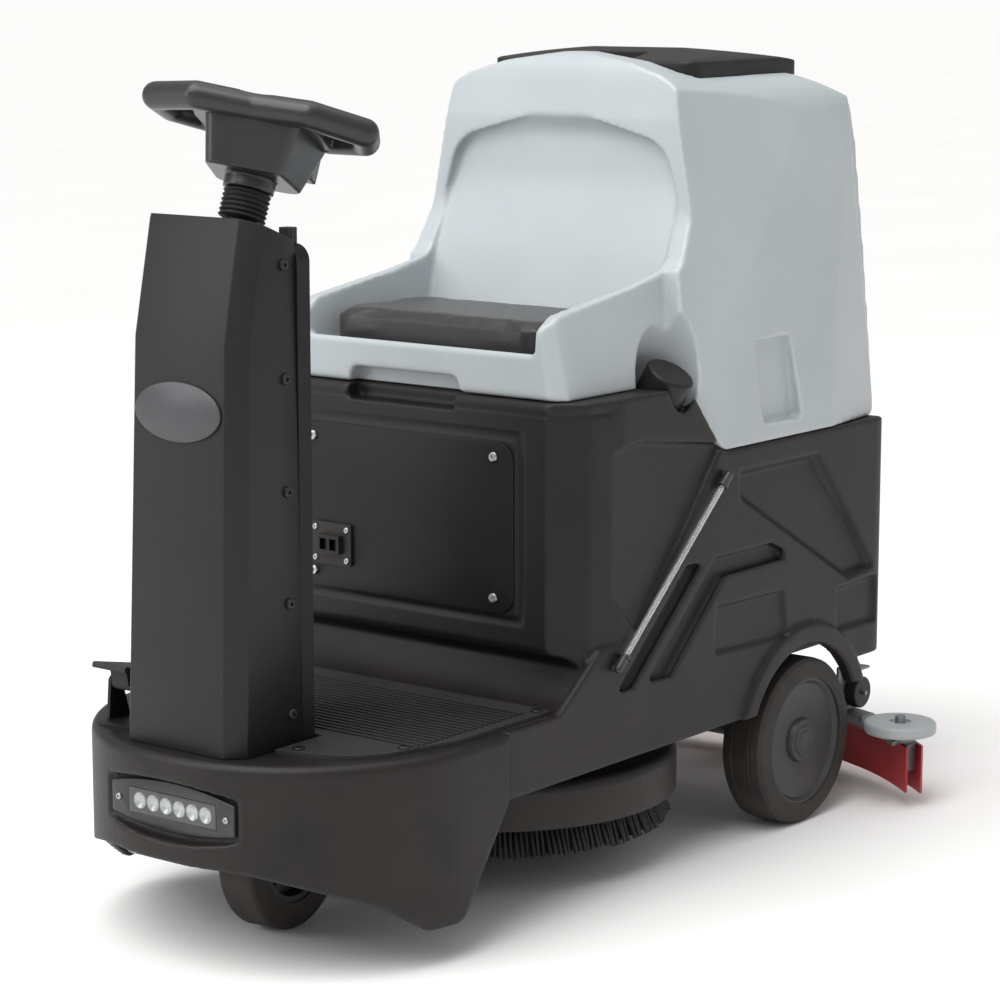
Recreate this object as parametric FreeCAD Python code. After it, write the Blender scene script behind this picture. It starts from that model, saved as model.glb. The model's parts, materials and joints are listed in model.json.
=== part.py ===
"""Ride-on floor scrubber-dryer: one disc brush, a curved squeegee, a black solution tank and a
grey recovery tank that carries the seat.

Millimetres. +Z is up, -Y is the front, +X is the driver's left. The origin is on the floor under
the middle of the machine's length. Each piece is written to parts/NODE.step.
"""
import FreeCAD
import Part
import math
import os

V = FreeCAD.Vector

# ---- overall sizes -------------------------------------------------------------------------
LENGTH = 1400.0            # nose to squeegee
HEIGHT = 1148.0            # floor to the top of the tank lid
BODY_HALF_W = 280.0        # half width of the body at the wheels
NOSE_Y = -LENGTH / 2

# ---- deck and nose -------------------------------------------------------------------------
DECK_Z = 280.0             # foot deck above the floor
DECK_T = 8.0               # thickness of the deck moulding's top
NOSE_WALL = 6.0
NOSE_CORNER_R = 270.0      # plan radius of the two front corners
NOSE_BACK_Y = -205.0       # where the deck runs under the battery box
NOSE_LIP_Z = 140.0         # lower edge of the front apron
FLAP_Z = 50.0              # lowest point of the two side flaps
FLAP_FRONT_Y = -500.0
FLAP_REAR_Y = -440.0
SKIRT_Z = 188.0            # lower edge of the side skirts
SKIRT_FRONT_Y = -344.0
ARCH_HALF_W = 222.0        # half width of the opening under the nose
WELL_Z = 118.0             # height of that opening
MAT_T = 5.0
RIB_PITCH = 12.0
RIB_H = 2.0

# ---- work light ----------------------------------------------------------------------------
LIGHT_Z = 206.0
LIGHT_W = 152.0
LIGHT_H = 32.0
LIGHT_RECESS = 24.0        # depth of the moulded pocket behind the nose's foremost line
BEZEL_W = 214.0
BEZEL_H = 66.0
BEZEL_T = 6.0
LED_COUNT = 6

# ---- steering ------------------------------------------------------------------------------
FRONT_AXLE_Y = -475.0
FRONT_WHEEL_R = 110.0
FRONT_WHEEL_W = 54.0
FRONT_RIM_R = 74.0
FRONT_AXLE_R = 10.0
KINGPIN_R = 20.0
SHAFT_Y = -575.0           # upright steering shaft in the column
SHAFT_R = 9.0
PIVOT_Z = 838.0            # tilt pivot and ball joint of the two shafts
COLUMN_TILT = 20.0         # degrees that the upper shaft leans towards the driver
YOKE_TURN = 28.0           # degrees that the steering yoke stands turned to the left
CHAIN_PITCH = 9.525
BIG_TEETH = 36
SMALL_TEETH = 9
SPROCKET_T = 5.0
SPROCKET_Z = 246.0

# ---- column --------------------------------------------------------------------------------
COLUMN_HALF_W = 104.0
COLUMN_TOP_HALF_W = 97.0
COLUMN_CHAMFER = 22.0
COLUMN_FRONT_Y = -673.0
COLUMN_TOP_FRONT_Y = -622.0
COLUMN_REAR_Y = -545.0
COLUMN_TOP_Z = 955.0
COLUMN_BEND_Z = 800.0      # above this the front leans back further
COLUMN_TOP_FALL = 30.0     # the top slopes down to the rear by this much
COLUMN_WALL = 3.0
CHANNEL_DEPTH = 24.0       # steel channel behind the cover
CHANNEL_HALF_W = 101.0
CHANNEL_TOP_Z = 918.0
COLUMN_SCREWS = 5

# ---- black solution tank -------------------------------------------------------------------
TANK_WALL = 7.0
BOX_FRONT_Y = -194.0       # front of the battery box
BOX_HALF_W = 268.0
BOX_CHAMFER = 42.0
BOX_LOW_Z = 347.0          # lower edge of the battery box above the foot deck
TANK_TOP_Z = 690.0
TANK_STEP_Z = 588.0        # top of the rear half
STEP_TOP_Y = 64.0
STEP_LOW_Y = 150.0
TANK_REAR_Y = 614.0
TANK_REAR_ROUND = 44.0     # plan radius of the tank's rear corners
TANK_REAR_LOW_Z = 224.0
TANK_FLOOR_Z = 290.0       # floor of the battery bay
TANK_BOTTOM_Z = 280.5      # underside, on the rails' cross plate
BAY_HALF_W = 196.0         # battery bay
BAY_FRONT_Y = -150.0
BAY_REAR_Y = 150.0
RISER_Y = -158.0           # upright behind the driver's heels

# ---- rear wheels ---------------------------------------------------------------------------
REAR_AXLE_Y = 370.0
REAR_WHEEL_R = 125.0
REAR_WHEEL_W = 72.0
REAR_RIM_R = 95.0
REAR_AXLE_R = 12.5
WHEEL_OUT_X = 288.0        # outer face of each rear wheel
ARCH_GAP = 22.0            # wheel arch around the tyre
ARCH_LIP = 30.0            # radial width of the lip round the arch
ARCH_LIP_OUT = 8.0

# ---- chassis -------------------------------------------------------------------------------
RAIL_X = 150.0             # inner side of each rail
RAIL_W = 32.0
RAIL_H = 50.0
RAIL_WALL = 4.0
PLATE_T = 10.0

# ---- brush ---------------------------------------------------------------------------------
BRUSH_Y = -25.0
BRUSH_R = 265.0            # bristle tips
BRUSH_LIFT = 55.0          # tips above the floor, deck raised
BRISTLE_H = 40.0
DISC_T = 16.0
COVER_R = 268.0
COVER_LOW_Z = 101.0
COVER_H = 66.0
COVER_WALL = 5.0
MOTOR_R = 52.0
GUIDE_R = 8.0
GUIDE_X = 110.0

# ---- squeegee ------------------------------------------------------------------------------
SQUEEGEE_R = 586.0         # plan radius of the blades' bow
SQUEEGEE_HALF_W = 384.0    # to the ends of the blades
SQUEEGEE_LIFT = 22.0       # blades above the floor, raised
BLADE_H = 74.0
BLADE_T = 4.0
BLADE_GAP = 26.0           # between the two blades
ROLLER_R = 55.0
ROLLER_T = 18.0
ROLLER_X = 341.0
ROLLER_Y = 553.0
ROLLER_Z = 119.0
SWIVEL_Y = 600.0
ARM_PIVOT_Y = 470.0
ARM_PIVOT_Z = 160.0
ARM_HALF_W = 45.0
CASTER_X = 205.0
CASTER_Y = 655.0
CASTER_R = 25.0

# ---- grey recovery tank and seat -----------------------------------------------------------
SEAT_FRONT_Y = -186.0
SEAT_FRONT_TOP_Z = 786.0
SEAT_FLOOR_Z = 738.0
SEAT_HALF_W = 194.0
SEAT_BACK_Y = 76.0         # foot of the backrest
BACK_TOP_Y = 138.0
ARMREST_HALF_W = 222.0
ARM_FRONT_Z = 803.0
ARM_REAR_Z = 856.0
SHELL_WALL = 7.0
SHELL_GAP = 1.0            # between the two tanks
CUSHION_T = 46.0
LID_FRONT_Y = 205.0
LID_REAR_Y = 500.0
LID_HALF_W = 182.0
LID_T = 26.0               # thickness at the middle
LID_CROWN = 30.0           # fall from the middle to each side
LID_FALL = 24.0            # fall from front to rear
TANK_HINGE_R = 6.0
TANK_HINGE_OUT = 4.0       # pin behind the black tank's rear wall
TANK_HINGE_DOWN = 2.0      # and below its top

# ---- fits ----------------------------------------------------------------------------------
RUN = 0.05                 # radial clearance of a shaft that turns in a bore
CLEAR = 0.5                # between neighbours that move past each other
SEAT_GAP = 0.3             # between a soft or dropped-in piece and what carries it


# ---- helpers -------------------------------------------------------------------------------
def box(x0, x1, y0, y1, z0, z1):
    return Part.makeBox(x1 - x0, y1 - y0, z1 - z0, V(x0, y0, z0))


def cyl(base, axis, r, h):
    return Part.makeCylinder(r, h, V(*base), V(*axis))


def tube(base, axis, r_out, r_in, h):
    return cyl(base, axis, r_out, h).cut(cyl(base, axis, r_in, h))


def corner_arc(before, corner, after, r):
    """Tangent points and middle of an arc that rounds one corner of an outline."""
    to_before = (before - corner).normalize()
    to_after = (after - corner).normalize()
    half = to_before.getAngle(to_after) / 2
    start = corner + to_before * (r / math.tan(half))
    end = corner + to_after * (r / math.tan(half))
    inward = (to_before + to_after).normalize()
    centre = corner + inward * (r / math.sin(half))
    return start, centre - inward * r, end


def outline(points, r=0.0):
    """Closed wire through the points. A point may carry its own corner radius as a last value."""
    corners = [V(*p[:3]) for p in points]
    radii = [p[3] if len(p) > 3 else r for p in points]
    n = len(corners)
    edges = []
    last = None
    first = None
    for i in range(n):
        if radii[i] > 0:
            start, middle, end = corner_arc(corners[i - 1], corners[i], corners[(i + 1) % n], radii[i])
        else:
            start, middle, end = corners[i], None, corners[i]
        if last is not None and (start - last).Length > 1e-6:
            edges.append(Part.LineSegment(last, start).toShape())
        if middle is not None:
            edges.append(Part.Arc(start, middle, end).toShape())
        if first is None:
            first = start
        last = end
    if (first - last).Length > 1e-6:
        edges.append(Part.LineSegment(last, first).toShape())
    return Part.Wire(edges)


def plan_prism(points, z0, z1, r=0.0):
    """Outline of (x, y) points, from z0 to z1."""
    wire = outline([(p[0], p[1], z0) + tuple(p[2:]) for p in points], r)
    return Part.Face(wire).extrude(V(0, 0, z1 - z0))


def side_prism(points, x0, x1, r=0.0):
    """Outline of (y, z) points, from x0 to x1."""
    wire = outline([(x0, p[0], p[1]) + tuple(p[2:]) for p in points], r)
    return Part.Face(wire).extrude(V(x1 - x0, 0, 0))


def front_prism(points, y0, y1, r=0.0):
    """Outline of (x, z) points, from y0 to y1."""
    wire = outline([(p[0], y0, p[1]) + tuple(p[2:]) for p in points], r)
    return Part.Face(wire).extrude(V(0, y1 - y0, 0))


def loft(*sections):
    return Part.makeLoft([outline(s) for s in sections], True, True)


def mirrored(shape):
    return shape.mirror(V(0, 0, 0), V(1, 0, 0))


def pair(shape):
    """A piece and its twin on the other side, joined where they meet."""
    return shape.fuse(mirrored(shape)).removeSplitter()


def fused(*shapes):
    return shapes[0].multiFuse(list(shapes[1:])).removeSplitter()


def revolved(points, centre, axis, about):
    """Solid of revolution: (radius, height) points about an axis through centre."""
    up = V(*axis).normalize()
    side = V(*about)
    side = (side - up * side.dot(up)).normalize()
    wire = Part.makePolygon([V(*centre) + side * r + up * h for r, h in points + points[:1]])
    return Part.Face(wire).revolve(V(*centre), up, 360)


def symmetric(half):
    """Plan outline from its +X half, front to back."""
    return half + [(-p[0],) + tuple(p[1:]) for p in reversed(half)]


# ---- deck, nose and light ------------------------------------------------------------------
CHEEK_T = 12.0             # the tank's side cheeks beside the deck
NOSE_HALF_W = BODY_HALF_W + 4


def nose_plan(inset):
    """Outline of the nose from above, moved inwards by inset."""
    x = NOSE_HALF_W - inset
    corner = NOSE_CORNER_R - inset
    return symmetric([(x, NOSE_Y + inset, corner), (x, NOSE_BACK_Y)])


def nose_side_cut():
    """Everything below the nose's lower edge, seen from the side."""
    low = FLAP_Z - 100
    fall = (NOSE_LIP_Z - FLAP_Z) * 0.55
    line = [(NOSE_Y - 50, NOSE_LIP_Z), (NOSE_Y + 20, NOSE_LIP_Z, 60),
            (FLAP_FRONT_Y - 60, NOSE_LIP_Z - fall, 60),
            (FLAP_FRONT_Y, FLAP_Z, 25), (FLAP_REAR_Y, FLAP_Z, 25),
            (SKIRT_FRONT_Y, SKIRT_Z, 12), (NOSE_BACK_Y + 50, SKIRT_Z)]
    return side_prism(line + [(NOSE_BACK_Y + 50, low), (NOSE_Y - 50, low)],
                      -BODY_HALF_W - 50, BODY_HALF_W + 50)


def nose_under_cut():
    """The opening between the two side flaps."""
    x = ARCH_HALF_W
    return front_prism([(-x - 45, FLAP_Z - 90), (-x, WELL_Z, 20), (x, WELL_Z, 20),
                        (x + 45, FLAP_Z - 90)], NOSE_Y - 50, NOSE_BACK_Y + 50)


def light_face(grow):
    """Front outline of the lamp: flat ends, bowed top and bottom."""
    x = BEZEL_W / 2 + grow
    z = BEZEL_H / 2 + grow
    end = z - 13
    top = Part.Arc(V(-x, 0, end), V(0, 0, z), V(x, 0, end)).toShape()
    right = Part.LineSegment(V(x, 0, end), V(x, 0, -end)).toShape()
    low = Part.Arc(V(x, 0, -end), V(0, 0, -z), V(-x, 0, -end)).toShape()
    left = Part.LineSegment(V(-x, 0, -end), V(-x, 0, end)).toShape()
    return Part.Face(Part.Wire([top, right, low, left]))


def light_block(grow, y0, y1):
    face = light_face(grow)
    face.translate(V(0, y0, LIGHT_Z))
    return face.extrude(V(0, y1 - y0, 0))


LIGHT_BACK_Y = NOSE_Y + LIGHT_RECESS


def front_deck():
    outer = plan_prism(nose_plan(0), FLAP_Z - 5, DECK_Z)
    inner = plan_prism(nose_plan(NOSE_WALL), FLAP_Z - 10, DECK_Z - DECK_T)
    inner = inner.fuse(box(-NOSE_HALF_W + NOSE_WALL, NOSE_HALF_W - NOSE_WALL,
                           NOSE_BACK_Y - 60, NOSE_BACK_Y + 10, FLAP_Z - 10, DECK_Z - DECK_T))
    shell = outer.cut(inner)
    room = box(BODY_HALF_W - CHEEK_T - CLEAR, 400, SKIRT_FRONT_Y - CLEAR, NOSE_BACK_Y + 10, 0,
               DECK_Z + 10)
    shell = shell.cut(room).cut(mirrored(room))
    backing = light_block(14, NOSE_Y, LIGHT_BACK_Y + NOSE_WALL)
    backing = backing.common(plan_prism(nose_plan(0), FLAP_Z, DECK_Z))
    shell = shell.fuse(backing)
    shell = shell.cut(light_block(7, NOSE_Y - 20, LIGHT_BACK_Y))
    shell = shell.cut(nose_side_cut()).cut(nose_under_cut())
    shell = shell.cut(cyl((0, SHAFT_Y, DECK_Z - 30), (0, 0, 1), SHAFT_R + 6, 60))
    socket = (-pedal_x(), PEDAL_Y, DECK_Z - 30)
    shell = shell.cut(cyl(socket, (0, 0, 1), 9, 60))
    return shell.removeSplitter()


def mat_plan(inset):
    x = BODY_HALF_W - CHEEK_T - 5 - inset
    front = COLUMN_REAR_Y - 66 + inset
    rear = NOSE_BACK_Y - 24 - inset
    return [(COLUMN_HALF_W + 6 + inset, front, 4), (x - 38, front + 34, 110), (x, -430, 60), (x, rear)]


def mat_half():
    """Ribbed rubber mat beside the column, joined behind it."""
    behind = COLUMN_REAR_Y + CHANNEL_DEPTH + 6
    rear = NOSE_BACK_Y - 24
    points = mat_plan(0) + [(0, rear), (0, behind), (COLUMN_HALF_W + 6, behind)]
    return plan_prism(points, DECK_Z, DECK_Z + MAT_T)


def deck_mat():
    x = pedal_x() + PEDAL_FOOT_W / 2 + CLEAR
    pedal_room = box(-x, -COLUMN_HALF_W, PEDAL_Y - 60, PEDAL_Y + PEDAL_FOOT_BACK + CLEAR, DECK_Z - 1,
                     DECK_Z + 20)
    mat = pair(mat_half()).cut(pedal_room)
    rib_x = BODY_HALF_W - 34
    y = COLUMN_REAR_Y + CHANNEL_DEPTH + 30
    ribs = []
    while y < NOSE_BACK_Y - 60:
        ribs.append(box(-rib_x, rib_x, y, y + RIB_PITCH / 2, DECK_Z + MAT_T - 1, DECK_Z + MAT_T + RIB_H))
        y += RIB_PITCH
    return fused(mat, *ribs)


def light_bezel():
    plate = light_block(0, LIGHT_BACK_Y - BEZEL_T, LIGHT_BACK_Y)
    w = LIGHT_W / 2 + SEAT_GAP
    h = LIGHT_H / 2 + SEAT_GAP
    return plate.cut(box(-w, w, NOSE_Y, 0, LIGHT_Z - h, LIGHT_Z + h))


LED_PITCH = LIGHT_W / (LED_COUNT + 0.6)
LENS_T = 2.0


def light_reflector():
    """Block of cups, one for each light, each with its chip on the floor of the cup."""
    front = LIGHT_BACK_Y - BEZEL_T + LENS_T
    block = box(-LIGHT_W / 2, LIGHT_W / 2, front, LIGHT_BACK_Y,
                LIGHT_Z - LIGHT_H / 2, LIGHT_Z + LIGHT_H / 2)
    for i in range(LED_COUNT):
        x = (i - (LED_COUNT - 1) / 2) * LED_PITCH
        cup = Part.makeCone(10.5, 5, 3, V(x, front, LIGHT_Z), V(0, 1, 0))
        block = block.cut(cup)
    return block


def light_lens():
    front = LIGHT_BACK_Y - BEZEL_T
    return box(-LIGHT_W / 2, LIGHT_W / 2, front, front + LENS_T,
               LIGHT_Z - LIGHT_H / 2, LIGHT_Z + LIGHT_H / 2)


# ---- steering column -----------------------------------------------------------------------
def column_section(z, half_w, front, rear, chamfer):
    return [(half_w - chamfer, front, z), (half_w, front + chamfer, z), (half_w, rear, z),
            (-half_w, rear, z), (-half_w, front + chamfer, z), (-half_w + chamfer, front, z)]


def column_body(inset, rear_extra, top):
    """Folded cover: straight up to the bend, then leaning back."""
    bend_share = (COLUMN_BEND_Z - DECK_Z) / (COLUMN_TOP_Z - DECK_Z)
    bend_w = COLUMN_HALF_W + (COLUMN_TOP_HALF_W - COLUMN_HALF_W) * bend_share
    bend_front = COLUMN_FRONT_Y + (COLUMN_TOP_FRONT_Y - COLUMN_FRONT_Y) * 0.4
    rear = COLUMN_REAR_Y + rear_extra
    low = column_section(DECK_Z, COLUMN_HALF_W - inset, COLUMN_FRONT_Y + inset, rear, COLUMN_CHAMFER)
    mid = column_section(COLUMN_BEND_Z, bend_w - inset, bend_front + inset, rear, COLUMN_CHAMFER)
    high = column_section(top, COLUMN_TOP_HALF_W - inset, COLUMN_TOP_FRONT_Y + inset, rear,
                          COLUMN_CHAMFER)
    return fused(loft(low, mid), loft(mid, high))


def column_top_cut(drop):
    """What lies above the sloping top of the column."""
    front = COLUMN_TOP_FRONT_Y
    rear = COLUMN_REAR_Y
    high = COLUMN_TOP_Z - drop
    slope = COLUMN_TOP_FALL / (rear - front)
    return side_prism([(front - 60, high), (front, high), (rear + 60, high - slope * (rear + 60 - front)),
                       (rear + 60, high + 200), (front - 60, high + 200)], -200, 200)


def column_cover():
    outer = column_body(0, 0, COLUMN_TOP_Z).cut(column_top_cut(0))
    inner = column_body(COLUMN_WALL, 20, COLUMN_TOP_Z).cut(column_top_cut(COLUMN_WALL))
    shell = outer.cut(inner)
    mouth_y = SHAFT_Y + (COLUMN_TOP_Z - PIVOT_Z) * math.tan(math.radians(COLUMN_TILT))
    mouth = box(-48, 48, mouth_y - 52, COLUMN_REAR_Y + 30, COLUMN_TOP_Z - 60, COLUMN_TOP_Z + 60)
    return shell.cut(mouth).removeSplitter()


PIVOT_PIN_R = 6.0
CRADLE_X = 34.0            # outer side of the tilting cradle
EAR_T = 6.0


def column_frame():
    """Steel post: an open channel behind the cover, a floor plate and the pivot ears."""
    rear = COLUMN_REAR_Y + CHANNEL_DEPTH
    w = CHANNEL_HALF_W
    channel = front_prism([(-w, DECK_Z), (w, DECK_Z), (w, CHANNEL_TOP_Z, 22), (-w, CHANNEL_TOP_Z, 22)],
                          COLUMN_REAR_Y, rear)
    wall = 4.0
    inner = front_prism([(-w + wall, DECK_Z - 1), (w - wall, DECK_Z - 1),
                         (w - wall, CHANNEL_TOP_Z - wall, 18), (-w + wall, CHANNEL_TOP_Z - wall, 18)],
                        COLUMN_REAR_Y - 1, rear - wall)
    channel = channel.cut(inner)
    foot = box(-w + CLEAR, w - CLEAR, COLUMN_FRONT_Y + 40, rear, DECK_Z, DECK_Z + 6)
    inside_w = COLUMN_TOP_HALF_W - COLUMN_WALL - CLEAR
    shelf = box(-inside_w, inside_w, SHAFT_Y - 24, rear, PIVOT_Z - 78, PIVOT_Z - 70)
    ear = box(CRADLE_X + CLEAR, CRADLE_X + CLEAR + EAR_T, SHAFT_Y - 16, rear, PIVOT_Z - 78, PIVOT_Z + 16)
    pin = cyl((CRADLE_X + CLEAR + EAR_T, SHAFT_Y, PIVOT_Z), (-1, 0, 0), PIVOT_PIN_R, EAR_T + CLEAR + 6)
    post = fused(channel, foot, shelf, ear, mirrored(ear), pin, mirrored(pin))
    post = post.cut(cyl((0, SHAFT_Y, DECK_Z - 20), (0, 0, 1), SHAFT_R + 4, 60))
    post = post.cut(box(-CRADLE_X - CLEAR, CRADLE_X + CLEAR, COLUMN_REAR_Y - 1, rear + 1, PIVOT_Z + 20,
                        CHANNEL_TOP_Z + 5))
    return post.cut(cyl((0, SHAFT_Y, PIVOT_Z - 90), (0, 0, 1), SHAFT_R + RUN, 30))


BADGE_Z = 712.0
BADGE_HALF_W = 73.0
BADGE_HALF_H = 38.0


def column_front_y(z):
    """Front face of the column cover at height z, below its bend."""
    bend_front = COLUMN_FRONT_Y + (COLUMN_TOP_FRONT_Y - COLUMN_FRONT_Y) * 0.4
    return COLUMN_FRONT_Y + (bend_front - COLUMN_FRONT_Y) * (z - DECK_Z) / (COLUMN_BEND_Z - DECK_Z)


def badge():
    """Plain oval plate on the front of the column."""
    lean = math.atan2(column_front_y(COLUMN_BEND_Z) - column_front_y(DECK_Z), COLUMN_BEND_Z - DECK_Z)
    up = V(0, math.sin(lean), math.cos(lean))
    out = V(0, -math.cos(lean), math.sin(lean))
    centre = V(0, column_front_y(BADGE_Z), BADGE_Z)
    oval = Part.Ellipse(centre + V(BADGE_HALF_W, 0, 0), centre + up * BADGE_HALF_H, centre)
    return Part.Face(Part.Wire([oval.toShape()])).extrude(out * 4)


# ---- steering shafts, head and yoke --------------------------------------------------------
TILT = math.radians(COLUMN_TILT)
HEAD_UP = (0, math.sin(TILT), math.cos(TILT))
HEAD_BACK = (0, math.cos(TILT), -math.sin(TILT))
BELLOWS_LOW = 112.0        # this and the next four are distances along the upper shaft from the pivot
BELLOWS_HIGH = 150.0
SHROUD_LOW = 168.0
SHROUD_HIGH = 229.0
YOKE_MID = 244.0
BALL_R = 12.0
CROSS_PIN_R = 4.0
CROSS_PIN_ROOM = 1.6       # each side of the pin in its slot, taken up by the bent joint
CUP_R = 20.0


def on_shaft(s, side=0.0, back=0.0):
    """Point at s along the upper shaft from the pivot, and to its side and back."""
    return (side, SHAFT_Y + s * HEAD_UP[1] + back * HEAD_BACK[1],
            PIVOT_Z + s * HEAD_UP[2] + back * HEAD_BACK[2])


def head_placed(shape):
    """A piece drawn upright about Z, put on the leaning shaft and turned with the yoke."""
    placed = shape.copy()
    placed.rotate(V(0, 0, 0), V(0, 0, 1), YOKE_TURN)
    placed.rotate(V(0, 0, 0), V(1, 0, 0), -COLUMN_TILT)
    placed.translate(V(0, SHAFT_Y, PIVOT_Z))
    return placed


def upper_shaft():
    shaft = cyl((0, 0, 0), (0, 0, 1), SHAFT_R, SHROUD_HIGH - 2)
    ball = Part.makeSphere(BALL_R, V(0, 0, 0))
    pin = cyl((-CUP_R + 1, 0, 0), (1, 0, 0), CROSS_PIN_R, 2 * CUP_R - 2)
    return head_placed(fused(shaft, ball, pin))


def lower_shaft():
    """Upright shaft: slotted cup at the top, small sprocket at the foot."""
    shaft = cyl((0, 0, SPROCKET_Z - 4), (0, 0, 1), SHAFT_R, PIVOT_Z - 20 - SPROCKET_Z + 4)
    cup = cyl((0, 0, PIVOT_Z - 30), (0, 0, 1), CUP_R, 34)
    bore = cyl((0, 0, PIVOT_Z), (0, 0, 1), BALL_R + CLEAR, 20)
    bore = bore.fuse(Part.makeSphere(BALL_R + CLEAR, V(0, 0, PIVOT_Z)))
    half = CROSS_PIN_R + CROSS_PIN_ROOM
    slot = box(-CUP_R - 5, CUP_R + 5, -half, half, PIVOT_Z - 14, PIVOT_Z + 20)
    cup = cup.cut(bore).cut(slot)
    body = fused(shaft, cup, sprocket(SMALL_TEETH, SHAFT_R - 0.5))
    body.rotate(V(0, 0, 0), V(0, 0, 1), YOKE_TURN)
    body.translate(V(0, SHAFT_Y, 0))
    return body


def sprocket(teeth, bore):
    """Toothed chain wheel about Z at the chain's height."""
    pitch_r = CHAIN_PITCH / (2 * math.sin(math.pi / teeth))
    disc = cyl((0, 0, SPROCKET_Z), (0, 0, 1), pitch_r + 2.2, SPROCKET_T)
    for i in range(teeth):
        a = 2 * math.pi * i / teeth
        gap = cyl((pitch_r * math.cos(a), pitch_r * math.sin(a), SPROCKET_Z - 1), (0, 0, 1), 3.3,
                  SPROCKET_T + 2)
        disc = disc.cut(gap)
    return disc.cut(cyl((0, 0, SPROCKET_Z - 1), (0, 0, 1), bore, SPROCKET_T + 2))


def steering_chain():
    """The chain's closed run round both sprockets, as one band outside the teeth."""
    big = CHAIN_PITCH / (2 * math.sin(math.pi / BIG_TEETH)) + 2.2 + CLEAR
    small = CHAIN_PITCH / (2 * math.sin(math.pi / SMALL_TEETH)) + 2.2 + CLEAR
    z0 = SPROCKET_Z - 1.5
    h = SPROCKET_T + 3
    outer = chain_loop(big + 4, small + 4, z0, h)
    return outer.cut(chain_loop(big, small, z0 - 1, h + 2))


def chain_loop(big, small, z0, h):
    span = FRONT_AXLE_Y - SHAFT_Y
    lean = math.asin((big - small) / span)
    along = (math.cos(lean), math.sin(lean))
    quad = [(big * along[0], FRONT_AXLE_Y - big * along[1]),
            (small * along[0], SHAFT_Y - small * along[1]),
            (-small * along[0], SHAFT_Y - small * along[1]),
            (-big * along[0], FRONT_AXLE_Y - big * along[1])]
    return fused(plan_prism(quad, z0, z0 + h), cyl((0, FRONT_AXLE_Y, z0), (0, 0, 1), big, h),
                 cyl((0, SHAFT_Y, z0), (0, 0, 1), small, h))


CRADLE_BLOCK_LOW = 40.0
CRADLE_BLOCK_HIGH = 96.0


def tilt_cradle():
    """Bearing block of the upper shaft, hung between the post's ears by two cheeks."""
    block = cyl((0, 0, CRADLE_BLOCK_LOW), (0, 0, 1), 24, CRADLE_BLOCK_HIGH - CRADLE_BLOCK_LOW)
    yoke = box(-CRADLE_X, CRADLE_X, -12, 12, CRADLE_BLOCK_LOW, CRADLE_BLOCK_LOW + 12)
    cheek = box(CRADLE_X - 6, CRADLE_X, -12, 12, -12, CRADLE_BLOCK_LOW + 12)
    top = cyl((0, 0, CRADLE_BLOCK_HIGH), (0, 0, 1), 20, BELLOWS_LOW - CRADLE_BLOCK_HIGH)
    body = fused(block, yoke, cheek, mirrored(cheek), top)
    body = body.cut(cyl((0, 0, CRADLE_BLOCK_LOW - 5), (0, 0, 1), SHAFT_R + RUN, 200))
    body = body.cut(cyl((-60, 0, 0), (1, 0, 0), PIVOT_PIN_R + RUN, 120))
    body.rotate(V(0, 0, 0), V(1, 0, 0), -COLUMN_TILT)
    body.translate(V(0, SHAFT_Y, PIVOT_Z))
    return body


BELLOWS_FOLDS = 5
BELLOWS_R = 31.0
BELLOWS_WAIST = 26.0


def steering_bellows():
    pitch = (BELLOWS_HIGH - BELLOWS_LOW) / BELLOWS_FOLDS
    wall = 2.0
    points = [(BELLOWS_WAIST - wall, BELLOWS_LOW)]
    for i in range(BELLOWS_FOLDS):
        low = BELLOWS_LOW + i * pitch
        points += [(BELLOWS_WAIST, low), (BELLOWS_R, low + pitch / 2)]
    points += [(BELLOWS_WAIST, BELLOWS_HIGH), (BELLOWS_WAIST - wall, BELLOWS_HIGH)]
    for i in reversed(range(BELLOWS_FOLDS)):
        low = BELLOWS_LOW + i * pitch
        points.append((BELLOWS_R - 2 * wall, low + pitch / 2))
        if i:
            points.append((BELLOWS_WAIST - wall, low))
    skirt = revolved(points, on_shaft(0), HEAD_UP, (1, 0, 0))
    foot = tube(on_shaft(BELLOWS_LOW), HEAD_UP, BELLOWS_WAIST, 15, 3)
    foot = foot.cut(cyl(on_shaft(BELLOWS_LOW - 1), HEAD_UP, SHAFT_R + CLEAR, 10))
    return fused(skirt, foot)


SHROUD_WALL = 4.0
SHROUD_LOW_W = 43.0        # half widths at the foot and at the top
SHROUD_TOP_W = 56.0
SHROUD_LOW_FRONT = -40.0
SHROUD_LOW_REAR = 56.0
SHROUD_TOP_FRONT = -50.0
SHROUD_TOP_REAR = 74.0


def shroud_section(z, half_w, front, rear, inset):
    w = half_w - inset
    r = 22.0 - inset
    return [(w - 8, front + inset, z, r), (w, rear - inset, z, r), (-w, rear - inset, z, r),
            (-w + 8, front + inset, z, r)]


def shroud_block(inset, z0, z1):
    return loft(shroud_section(z0, SHROUD_LOW_W, SHROUD_LOW_FRONT, SHROUD_LOW_REAR, inset),
                shroud_section(z1, SHROUD_TOP_W, SHROUD_TOP_FRONT, SHROUD_TOP_REAR, inset))


def hub_shroud():
    """Tapered housing under the yoke, with the collar that sits on the bellows."""
    collar = tube((0, 0, BELLOWS_HIGH + CLEAR), (0, 0, 1), 33, SHAFT_R, SHROUD_LOW - BELLOWS_HIGH)
    outer = shroud_block(0, SHROUD_LOW, SHROUD_HIGH)
    inner = shroud_block(SHROUD_WALL, SHROUD_LOW + SHROUD_WALL, SHROUD_HIGH + 1)
    boss = tube((0, 0, SHROUD_LOW), (0, 0, 1), SHAFT_R + 9, SHAFT_R, SHROUD_HIGH - SHROUD_LOW - 2)
    lock = box(22, 52, SHROUD_TOP_REAR - 8, SHROUD_TOP_REAR + 18, SHROUD_HIGH - 34, SHROUD_HIGH)
    shell = outer.cut(inner).cut(cyl((0, 0, 0), (0, 0, 1), SHAFT_R, 400))
    return head_placed(fused(shell, collar, boss, lock))


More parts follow.
